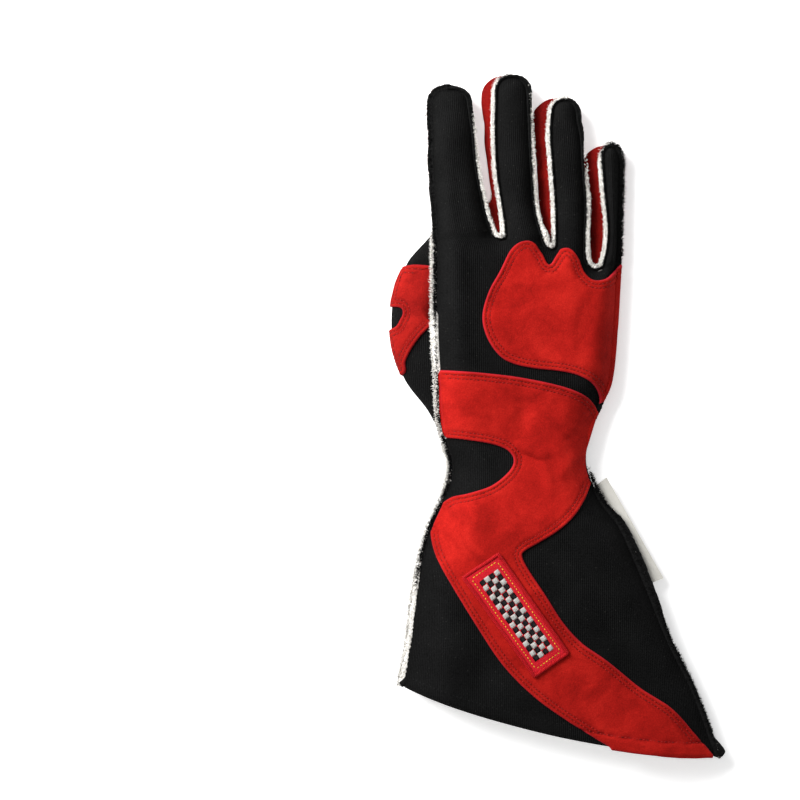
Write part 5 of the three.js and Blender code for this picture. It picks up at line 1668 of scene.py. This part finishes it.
@dataclass
class Shells(Assembly):
    """The knit and suede panels that make the glove's tube, fingers and thumb."""

    back: Cloth = field(init=False)
    palm: Cloth = field(init=False)
    under: Cloth = field(init=False)
    thumb_front: Cloth = field(init=False)
    thumb_back: Cloth = field(init=False)

    def build(self) -> None:
        """Raise every panel, and model them with the walls between the fingers."""
        self._raise()
        panels = (
            ("knit_back", self.back, "knit", "back_panel"),
            ("suede_palm", self.palm, "red_suede", "palm_panel"),
            ("knit_gauntlet_underside", self.under, "knit", "gauntlet_under_panel"),
            ("knit_thumb_back", self.thumb_back, "knit", "thumb_back"),
            ("suede_thumb_front", self.thumb_front, "red_suede", "thumb_front"),
        )
        for name, cloth, outside, node in panels:
            self.add(outside, [cloth.shell(name, outside)], node)
        for slit in range(3):
            self.add("red_suede", [self._wall(slit)], f"finger_wall_{slit + 1}")

    def _raise(self) -> None:
        """Lay out and raise every panel."""
        self.back = hand_cloth(1, BACK_ROWS, BACK_FINGERS, SEAM_HALF_GAP, lambda row, shares: (
            blend(row["crown_left"], row["crown_right"], shares),
            row["seam_left"] + SEAM_HALF_GAP, row["seam_right"] + SEAM_HALF_GAP,
        )).settle(0.5, 3, folds=BACK_FOLDS)
        self.palm = hand_cloth(-1, PALM_ROWS, PALM_FINGERS, -SEAM_HALF_GAP, lambda row, shares: (
            blend(row["floor_left"], row["floor_right"], smoothstep(shares, *FLOOR_RAMP))
            + row["gather"] * pucker(PALM_FOLD_SHIFT + PALM_FOLDS * shares),
            row["edge_left"], row["seam_right"] - SEAM_HALF_GAP,
        )).settle(0.0, 5, 3)
        self.under = self._open_panel(UNDER_ROWS, 144, True, lambda row, shares: (
            row["floor"] + row["gather"] * pucker(UNDER_FOLDS * shares),
            row["seam_left"] - SEAM_HALF_GAP, row["seam_right"] - SEAM_HALF_GAP,
        ))
        self.thumb_front = self._open_panel(THUMB_FRONT_ROWS, 36, False, lambda row, shares: (
            row["floor"], row["edge_left"], row["edge_right"],
        ))
        self.thumb_back = Cloth(-1, rolled=True)
        heights = []
        for k in range((len(THUMB_BACK_ROWS) - 1) * THUMB_STEPS + 1):
            row = row_at(THUMB_BACK_ROWS, k / THUMB_STEPS)
            x, z = thumb_section(row, THUMB_COLUMNS).T
            self.thumb_back.add_line(self.thumb_back.add_row(x, row["y"], 0.0, 1.0, math.nan, math.nan))
            heights.append(z)
        self.thumb_back.points = np.column_stack([self.thumb_back.data()[:, :2], np.concatenate(heights)])

    @staticmethod
    def _open_panel(rows: list[Row], columns: int, has_mouth: bool, describe: Describe) -> Cloth:
        """Lay and raise a panel whose two long edges are sewn.

        Args:
            rows: Its sections.
            columns: How many faces it has across.
            has_mouth: Whether its first row is part of the glove's mouth.
            describe: Gives a row's heights.

        Returns:
            The panel.
        """
        cloth = Cloth(-1)
        cloth.add_body(rows, np.linspace(0, 1, columns + 1), describe, has_mouth=has_mouth)
        cloth.sewn = [cloth.side(0), cloth.side(-1)]
        return cloth.settle(0.0, 7, 3)

    def _wall(self, slit: int) -> Piece:
        """Model the suede wall round one slit, from the back's edge to the palm's.

        Args:
            slit: The slit's number, from the thumb side.

        Returns:
            The wall.
        """
        lines = []
        for cloth in (self.back, self.palm):
            start, web, stop = cloth.tips[slit][2] + 4, cloth.webs[slit], cloth.tips[slit + 1][1] - 1
            halves = [cloth.path(*ends, 0.3) for ends in ((start, web), (web, stop))]
            halves = [read_along(p, np.linspace(0, arc_lengths(p)[-1], WALL_HALF + 1)) for p in halves]
            lines.append(np.vstack([halves[0], halves[1][1:]]))
        outward = left_of(lines[0])
        fuller = along_profile(WALL_FULLNESS[slit], np.linspace(0, 1, len(outward)))
        layers = []
        for s in np.linspace(0, 1, WALL_LAYERS):
            line = blend(*lines, s) + UPWARD * WALL_ROOM * (2 * s - 1)
            bulge = 0.9 * math.sin(math.pi * s) + s * fuller + 0.25 * smooth_noise(line, 14.0, slit + 11)
            layers.append(line + outward * bulge[:, None])
        outside = np.vstack(layers)
        faces = grid_quads(WALL_LAYERS, len(outward))[:, ::-1]
        a, b, c = outside[faces[0, :3]]
        if np.dot(np.cross(b - a, c - a), outward[0]) < 0:
            faces = faces[:, ::-1]
        closed, kinds = shell_faces(faces, len(outside))
        points = np.vstack([outside - np.tile(outward, (WALL_LAYERS, 1)) * SUEDE_WALL, outside])
        # the walls take the darker copy of the suede, as painted shade between the fingers
        return make_object(f"suede_finger_wall_{slit + 1}", points, closed, ["shaded_wall_suede"] * 3, kinds)


class ThumbRoll:
    """The back of the thumb unrolled flat, on which its pad is cut and from which it is laid on."""

    def __init__(self, cloth: Cloth) -> None:
        """Measure the cloth's sections."""
        self.lines = cloth.points[np.array(cloth.lines)]
        self.lengths = np.stack([arc_lengths(line) for line in self.lines])
        self.ys = self.lines[:, 0, 1]

    def unroll(self, plan: Array) -> list[tuple[float, float]]:
        """Turn plan points to places across and along the unrolled cloth.

        Args:
            plan: The points.

        Returns:
            The places.
        """
        rolled = []
        for x, y in plan:
            k = int(np.clip(np.searchsorted(self.ys, y), 1, len(self.ys) - 1))
            line, along = self.lines[k], self.lengths[k]
            leftmost = int(line[:, 0].argmin())
            if x < line[leftmost, 0] + 0.2:
                across = along[leftmost + int(np.argmax(line[leftmost:, 2] < THUMB_LOW))]
            else:
                across = np.interp(-x, -line[:leftmost + 1, 0], along[:leftmost + 1])
            rolled.append((-across, y))
        return rolled

    def lift(self, rolled: Array) -> tuple[Array, Array]:
        """Lay unrolled points on the thumb.

        Args:
            rolled: The places.

        Returns:
            The points on the thumb and the outward normals there.
        """
        here, before, after = (self._at(rolled, step) for step in (0.0, -0.8, 0.8))
        normal = unit(np.cross(after - before, [0.0, 1.0, 0.0]))
        inward = (normal * (here - THUMB_MIDDLE)).sum(1, keepdims=True) < 0
        return here, np.where(inward, -normal, normal)

    def _at(self, rolled: Array, step: float) -> Array:
        """Find unrolled points on the thumb, moved a step across."""
        found = []
        for across, y in rolled:
            k = int(np.clip(np.searchsorted(self.ys, y), 1, len(self.ys) - 1))
            share = np.clip((y - self.ys[k - 1]) / (self.ys[k] - self.ys[k - 1]), 0, 1)
            near = [read_along(self.lines[j], step - across, self.lengths[j])[0] for j in (k - 1, k)]
            found.append(blend(*near, share))
        return np.array(found)


@dataclass(frozen=True)
class Patch:
    """The woven patch on the strap: its place and size, and the blocks of its chequered band."""

    face: Face
    middle: tuple[float, float] = (-25.0, -112.6)
    degrees: float = 35.4
    width: float = 25.0
    length: float = 71.0
    base: float = 2 * LAYER_GAP + SUEDE_WALL
    thick: float = 1.1
    blocks: tuple[int, int] = (4, 17)
    block_mm: float = 3.3
    block_half: float = 1.62
    block_points: int = 6

    def build(self) -> list[Piece]:
        """Model a satin field with yellow stitches, a raised edge and a chequered band."""
        corners = self._rectangle(1.2).tolist()
        runs = [list(pair) for pair in zip(corners[:-1], corners[1:], strict=True)]
        satin = Applique("patch_field", runs, "patch", "yellow_thread", gap=self.base, wall=self.thick,
                         stitch_rows=(2.6,), stitch_mm=2.0, puff=0.0, groove=0.15, spacing=1.5)
        pieces = satin.build(self.face.lift)
        ring = respaced(self._rectangle(0.9), 0.62)[:-1]
        points, normals = self.face.lift(ring)
        across = np.column_stack([-inward_of(ring), np.zeros(len(ring))])
        edge = points + normals * (self.base + self.thick + 0.15), across, normals
        pieces.append(stitch_object("patch_edge_overlock", edge, "patch_rim", 2.5, 0.5))
        pieces.append(self._checks("patch_checks_dark", "check_black", 0))
        pieces.append(self._checks("patch_checks_light", "check_white", 1))
        return pieces

    def _place(self, local: Array) -> Array:
        """Move places on the patch to the plan."""
        c, s = math.cos(math.radians(self.degrees)), math.sin(math.radians(self.degrees))
        return np.array(self.middle) + local @ np.array([(c, s), (-s, c)])

    def _rectangle(self, margin: float) -> Array:
        """Go round the corners of a rectangle, a margin inside the patch, back to the first."""
        half = np.array([self.width, self.length]) / 2 - margin
        return self._place(np.array([(1, 1), (-1, 1), (-1, -1), (1, -1), (1, 1)]) * half)

    def _checks(self, name: str, thread: str, parity: int) -> Piece:
        """Model every other block of the band, each a low cushion of satin stitch.

        Args:
            name: The piece's name.
            thread: Its finish.
            parity: 0 or 1, for the blocks with an even or an odd number.

        Returns:
            The blocks as one object.
        """
        across, along = self.blocks
        numbers = np.array([(i, j) for i in range(across) for j in range(along) if (i + j) % 2 == parity])
        centres = (numbers - [(across - 1) / 2, (along - 1) / 2]) * self.block_mm
        steps = np.linspace(-self.block_half, self.block_half, self.block_points)
        local = np.array([(x, y) for y in steps for x in steps])
        points, normals = self.face.lift(self._place((centres[:, None] + local).reshape(-1, 2)))
        reach = np.tile(np.abs(local).max(1) / self.block_half, len(centres))
        foot = self.base + self.thick
        top = foot + 0.5 * np.sqrt(np.clip(1 - reach**3, 0, 1)) - 0.02
        both = np.vstack([points + normals * (foot - 0.15), points + normals * top[:, None]])
        faces = repeated(flipped(grid_quads(self.block_points, self.block_points)), len(centres), len(local))
        return make_object(name, both, shell_faces(faces, len(points))[0], [thread], sharp_degrees=180)


@dataclass
class Trim(Assembly):
    """The suede appliques, the patch and the label."""

    shells: Shells
    label_rows: int = 47
    label_columns: int = 9

    def build(self) -> None:
        """Sew on every applique, the patch and the label."""
        top, bottom = Face(self.shells.back), Face(self.shells.palm)
        knuckles = Applique("suede_knuckle_pad", KNUCKLE_OUTLINE, "red_suede", "red_thread")
        strap = Applique("suede_gauntlet_strap", STRAP_OUTLINE, "red_suede", "red_thread", hem_mm=7.4)
        pad = Applique("suede_palm_pad", PALM_OVERLAY_OUTLINE, "black_suede", "black_thread", wall=1.1,
                       puff=0.0, insets=(0.4, 0.4, 0.4))
        self.add("red_suede", knuckles.build(top.lift, top), "knuckle_overlay")
        self.add("red_suede", strap.build(top.lift, top), "gauntlet_strap")
        self.add("black_suede", pad.build(bottom.lift, bottom), "palm_overlay")
        roll = ThumbRoll(self.shells.thumb_back)
        runs = [roll.unroll(smooth_run(run, 2.5)) for run in THUMB_OVERLAY_OUTLINE]
        # the thumb's pad is cut from the darker copy of the suede, as painted shade
        thumb = Applique("suede_thumb_pad", runs, "shaded_suede", "red_thread", step=1.0, spacing=1.6)
        self.add("red_suede", thumb.build(roll.lift), "thumb_overlay")
        self.add("patch", Patch(top).build(), "strap_patch")
        self.add("label", [self._label()], "side_label")

    def _label(self) -> Piece:
        """Model the blank folded label that is caught in the side seam."""
        back = self.shells.back
        edge = respaced(back.points[back.side(-1)][::-1], 0.5)
        points = []
        for s in np.linspace(0, 1, self.label_rows):
            y = blend(-40, -97, s)
            near = edge[np.abs(edge[:, 1] - y).argmin()]
            start = np.array([near[0] + 1.5, y, near[2] - SEAM_HALF_GAP - 1.8])
            drop = 0.8 * math.sin(5 * s) - 2.0
            end = np.array([blend(29, 62.5, s), blend(-34.5, -93.5, s), start[2] + drop])
            for t in np.linspace(0, 1, self.label_columns):
                points.append(blend(start, end, t) + UPWARD * 0.35 * math.sin(math.pi * t))
        middle, half = np.array(points), UPWARD * 0.32
        closed, _ = shell_faces(grid_quads(self.label_rows, self.label_columns), len(middle))
        both = np.vstack([middle - half, middle + half])
        return make_object("blank_side_label", both, closed, ["label"], sharp_degrees=60)


TIP_OVERLAP = 10  # outline points by which two seams pass each other on a fingertip
TIP_ROLL: Profile = (
    (0.0, 2.0), (0.06, 2.7), (0.14, 2.4), (0.2, 1.4), (0.26, 1.0), (0.87, 1.0), (0.93, 2.1), (1.0, 2.2))
SLIT_PROFILES: tuple[Profile, ...] = (
    ((0.0, 0.0), (0.09, 0.0), (0.14, 0.6), (0.3, 0.85), (0.44, 1.1), (0.5, 1.6), (0.58, 1.1), (0.94, 1.05),
     (0.985, 0.3), (1.0, 0.1)),
    ((0.0, 0.0), (0.08, 0.1), (0.16, 0.5), (0.3, 0.85), (0.44, 1.1), (0.5, 1.7), (0.58, 1.15), (0.95, 1.1),
     (0.985, 0.8), (1.0, 0.6)),
    ((0.0, 0.1), (0.12, 0.0), (0.22, 0.15), (0.32, 0.8), (0.44, 1.1), (0.5, 1.5), (0.58, 1.1), (0.93, 1.05),
     (0.98, 0.4), (1.0, 0.1)),
)
THUMB_SIDE_RIDGE: Profile = (
    (-160, 1.3), (-154, 1.3), (-151, 0.6), (-95, 0.6), (-78, 0.9), (-50, 0.8), (-12, 0.8), (-10, 0.2),
    (28, 0.2), (31, 0.0), (55, 0.0), (62, 0.7), (100, 0.8), (106, 1.3), (200, 1.3))
THUMB_SIDE_FUZZ: Profile = (
    (-160, 0.0), (-104, 0.0), (-82, 1.0), (-12, 1.0), (-8, 0.35), (27, 0.35), (31, 0.12), (56, 0.12),
    (62, 1.0))
THUMB_SIDE_WHITE: Profile = (
    (-160, 1.15), (-100, 1.1), (-84, 0.8), (-48, 0.8), (-44, 1.05), (-14, 1.05), (-8, 0.9), (26, 0.95),
    (32, 1.3), (56, 1.3), (63, 1.05), (100, 1.0), (107, 0.5), (114, 0.1), (200, 0.1))
LITTLE_SIDE_RIDGE: Profile = (
    (-200, 2.4), (-194, 2.3), (-186, 1.2), (-125, 1.2), (-105, 2.0), (-60, 1.8), (-42, 0.7), (-30, 0.6),
    (-14, 0.7), (-2, 1.2), (8, 1.5), (16, 0.85), (78, 0.85), (88, 1.15), (160, 1.0))
LITTLE_SIDE_FUZZ: Profile = (
    (-200, 1.0), (-110, 1.3), (-55, 1.3), (-36, 1.0), (-28, 0.0), (90, 0.0), (94, 1.0), (160, 1.0))
LITTLE_SIDE_WHITE: Profile = (
    (-200, 0.5), (-186, 0.8), (-170, 0.1), (-60, 0.15), (-45, 0.4), (-33, 0.0), (88, 0.0), (98, 0.3),
    (150, 0.1))


@dataclass
class Seams(Assembly):
    """Every raw seam of the glove."""

    shells: Shells

    def build(self) -> None:
        """Model the seams between the fingers, down both sides and round the thumb."""
        back, palm = self.shells.back, self.shells.palm
        for slit, white in enumerate(SLIT_PROFILES):
            number = slit + 1
            path = back.path(back.tips[slit][1] - TIP_OVERLAP, back.tips[number][1] + TIP_OVERLAP)
            self._sew(RawSeam(f"seam_between_fingers_{number}", path, [
                Band(0.1, 2.7, 0.35, 1.9, "fleece", 0.3, white),
                Band(-0.6, 1.2, 0.5, 1.6, "knit_edge", 0.2, TIP_ROLL),
            ], [
                Fringe(-0.2, 0.6, 11.0, 1.2, Fibre.BLACK, 1.5, 1.0, 0.0),
                Fringe(0.6, 2.2, 18.0, 1.3, Fibre.WHITE, 1.0, 0.7, 0.2, white),
            ], 40 + slit), f"finger_seam_back_{number}")
            path = palm.path(palm.tips[slit][1], palm.tips[number][1])
            self._sew(RawSeam(f"seam_under_fingers_{number}", path, [
                Band(-0.7, 1.5, -1.1, 1.4, "fleece", 0.3),
            ], [
                Fringe(-0.5, 1.2, 12.0, 0.9, Fibre.WHITE, -1.6, 0.2, -0.8),
            ], 60 + slit), f"finger_seam_palm_{number}")
        self._sides()
        self._thumb()

    def _sew(self, seam: RawSeam, *nodes: str) -> None:
        """Add a seam and the node that it stands for."""
        self.add("fleece", seam.build(), *nodes)

    def _sides(self) -> None:
        """Add the seams down the thumb side and the little finger side."""
        back = self.shells.back
        low = -SEAM_HALF_GAP
        left = back.path(0, back.tips[0][1] + TIP_OVERLAP)
        self._sew(RawSeam("seam_thumb_side", left, [
            Band(-1.3, 3.5, low + 1.4, 2.2, "knit_edge", 0.25, THUMB_SIDE_RIDGE),
            Band(-0.8, 3.9, low + 0.85, 1.9, "fleece", 0.3, THUMB_SIDE_WHITE),
        ], [
            Fringe(0.9, 1.3, 14.0, 1.9, Fibre.BLACK, low + 2.4, 0.8, 0.0, THUMB_SIDE_FUZZ),
            Fringe(1.6, 2.4, 20.0, 1.8, Fibre.WHITE, low + 1.0, 0.9, 0.1, THUMB_SIDE_WHITE),
        ], 80, True), "side_seam_thumb")
        turned = left[(left[:, 1] > -11.0) & (left[:, 1] < 28.0)]
        self._sew(RawSeam("strap_edge_in_seam", turned, [Band(-1.5, 3.1, low + 1.8, 2.2, "red_suede", 0.05)],
                          [Fringe(1.2, 0.4, 3.0, 0.8, Fibre.RED, low + 1.2, 1.0, 0.0)], 84))
        right = back.path(back.tips[3][1] - TIP_OVERLAP, len(back.outline) - 1)
        right = np.vstack([right, right[-1] + unit(right[-1] - right[-4]) * np.array([[0.9], [1.8], [2.7]])])
        self._sew(RawSeam("seam_little_side", right, [
            Band(-0.9, 3.2, low + 0.9, 2.0, "knit_edge", 0.25, LITTLE_SIDE_RIDGE),
            Band(1.1, 1.9, low - 0.3, 1.3, "fleece", 0.2, LITTLE_SIDE_WHITE),
        ], [
            Fringe(0.9, 1.8, 16.0, 2.0, Fibre.BLACK, low + 1.7, 0.9, 0.0, LITTLE_SIDE_FUZZ),
            Fringe(1.7, 1.0, 14.0, 1.5, Fibre.WHITE, low + 0.9, 1.0, 0.1, LITTLE_SIDE_WHITE),
        ], 90, True), "side_seam_little")

    def _thumb(self) -> None:
        """Add the seam under the thumb and the one at its root."""
        outer, front, palm = (cloth.points[cloth.side(column)] for cloth, column in (
            (self.shells.thumb_back, -1), (self.shells.thumb_front, 0), (self.shells.palm, 0)))
        outer = outer[9:-4]
        beside = np.interp(outer[:, 1], front[:, 1], front[:, 0])
        under = np.column_stack([(outer[:, 0] + beside) / 2, outer[:, 1], outer[:, 2] - 0.2])
        self._sew(RawSeam("seam_under_thumb", respaced(under, 0.9)[::-1], [
            Band(-0.8, 1.7, 0.0, 2.0, "fleece", 0.35),
        ], [
            Fringe(-0.7, 1.5, 14.0, 0.9, Fibre.WHITE, -0.8, 0.1, -0.6),
        ], 100), "thumb_seam")
        root = palm[4:56] + np.array([1.6, -0.4, -2.6])
        self._sew(RawSeam("seam_thumb_root", respaced(root, 0.9)[::-1], [
            Band(-0.9, 1.9, 0.0, 2.1, "fleece", 0.35),
        ], [
            Fringe(-0.7, 1.5, 14.0, 1.0, Fibre.WHITE, -0.8, 0.1, -0.6),
        ], 110), "thumb_root_seam")


@dataclass
class Hems(Assembly):
    """The stitched hem round the mouth and the elastic stitched across the inside of the wrist."""

    shells: Shells
    zigzag_rows: int = 6  # rows of cloth that the zigzag crosses, about 7.5 mm
    zigzag_step: float = 3.6

    def build(self) -> None:
        """Sew the hem and the elastic."""
        back, palm, under = self.shells.back, self.shells.palm, self.shells.under
        for name, cloth in (("hem_stitches_back", back), ("hem_stitches_underside", under)):
            below, above = (self._line(cloth, number)[2:-2] for number in (3, 4))
            start, stop = (cloth.blocks[number][0, 5] for number in (3, 4))
            below[:, :3] = blend(below[:, :3], above[:, :3], (HEM_STITCH - start) / (stop - start))
            stitches = stitch_object(name, threads_along(below, 2.4, -0.1), "black_thread", 1.7, 0.25)
            self.add("knit", [stitches])
        self._zigzag("elastic_zigzag_gauntlet", under, 56, "black_thread")
        self._zigzag("elastic_zigzag_palm", palm, 3, "red_thread")

    @staticmethod
    def _line(cloth: Cloth, number: int) -> Array:
        """Give a row of the cloth, with the outward normal beside each point."""
        line = cloth.lines[number]
        return np.column_stack([cloth.points[line], cloth.normals()[line]])

    def _zigzag(self, name: str, cloth: Cloth, first: int, thread: str) -> None:
        """Sew the elastic with one wide zigzag across the gathers of a panel.

        Args:
            name: The piece's name.
            cloth: The panel.
            first: The row at which the zigzag starts.
            thread: Its finish.
        """
        leg = self.zigzag_rows
        rows = np.stack([self._line(cloth, first + k) for k in range(leg + 1)])
        legs = round(arc_lengths(rows[0][:, :2])[-1] / self.zigzag_step)
        column = np.linspace(4, rows.shape[1] - 5, legs * leg + 1)
        climb = np.abs((np.arange(len(column)) + leg) % (2 * leg) - leg)
        left = column.astype(int)
        zigzag = blend(rows[climb, left], rows[climb, left + 1], (column % 1)[:, None])
        self.add("knit", [stitch_object(name, threads_along(zigzag, 2.0, 0.7), thread, 1.9, 0.3)])


@dataclass(frozen=True)
class Studio:
    """A white surface, a soft light from the upper left, and a camera straight above."""

    frame_mm: float = 464.0  # width of the picture at the glove
    centre_mm: tuple[float, float] = (-90.4, 8.0)
    lens_mm: float = 100.0
    film_mm: float = 36.0
    glove_middle_mm: float = 15.0

    def build(self) -> None:
        """Place the surface, the lights and the camera."""
        bpy.ops.mesh.primitive_plane_add(size=6.0, location=(0, 0, -0.0003))
        floor = bpy.context.object
        floor.name = "white_surface"
        floor.data.materials.append(finish("paper"))
        world = bpy.data.worlds.new("pale_room")
        bpy.context.scene.world = world
        world.use_nodes = True
        light = world.node_tree.nodes["Background"].inputs
        light[0].default_value = (1.0, 1.0, 1.0, 1.0)
        light[1].default_value = 0.31
        self._light("key_softbox", (-0.64, 0.5, 0.6), 0.55, 20.2)
        self._light("top_fill", (-0.4, 0.3, 1.5), 1.4, 4.6)
        camera = bpy.data.cameras.new("camera")
        camera.lens = self.lens_mm
        camera.clip_start = 0.01
        distance = self.frame_mm * self.lens_mm / self.film_mm + self.glove_middle_mm
        bpy.context.scene.camera = self._hold(camera, Vector((*self.centre_mm, distance)) * MM)
        bpy.context.scene.view_settings.view_transform = "Standard"

    @staticmethod
    def _hold(data: bpy.types.Camera | bpy.types.Light, place: Vector) -> Piece:
        """Put a camera or a light at a place."""
        holder = bpy.data.objects.new(data.name, data)
        holder.location = place
        bpy.context.scene.collection.objects.link(holder)
        return holder

    def _light(self, name: str, place: tuple[float, float, float], size: float, power: float) -> None:
        """Add a square soft light that looks at the glove.

        Args:
            name: The light's name.
            place: Where it stands, in metres.
            size: The length of its side, in metres.
            power: Its power, in watts.
        """
        light = bpy.data.lights.new(name, "AREA")
        light.size = size
        light.energy = power
        self._hold(light, Vector(place)).rotation_euler = (-Vector(place)).to_track_quat("-Z", "Y").to_euler()


def main() -> None:
    """Dress the glove and set its scene."""
    logging.basicConfig(level=logging.INFO, format="%(name)s: %(message)s")
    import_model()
    bpy.ops.object.select_all(action="DESELECT")
    shells = Shells()
    triangles = 0
    for assembly in (shells, Trim(shells), Seams(shells), Hems(shells)):
        assembly.build()
        for piece, nodes, slot in assembly.made:
            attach(piece, "root")
            if nodes:
                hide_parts(*nodes)
            count = sum(len(face.vertices) - 2 for face in piece.data.polygons)
            triangles += count
            LOG.info("%s: %d triangles", piece.name, count)
    LOG.info("all pieces: %d triangles", triangles)
    Studio().build()


if __name__ == "__main__":
    main()
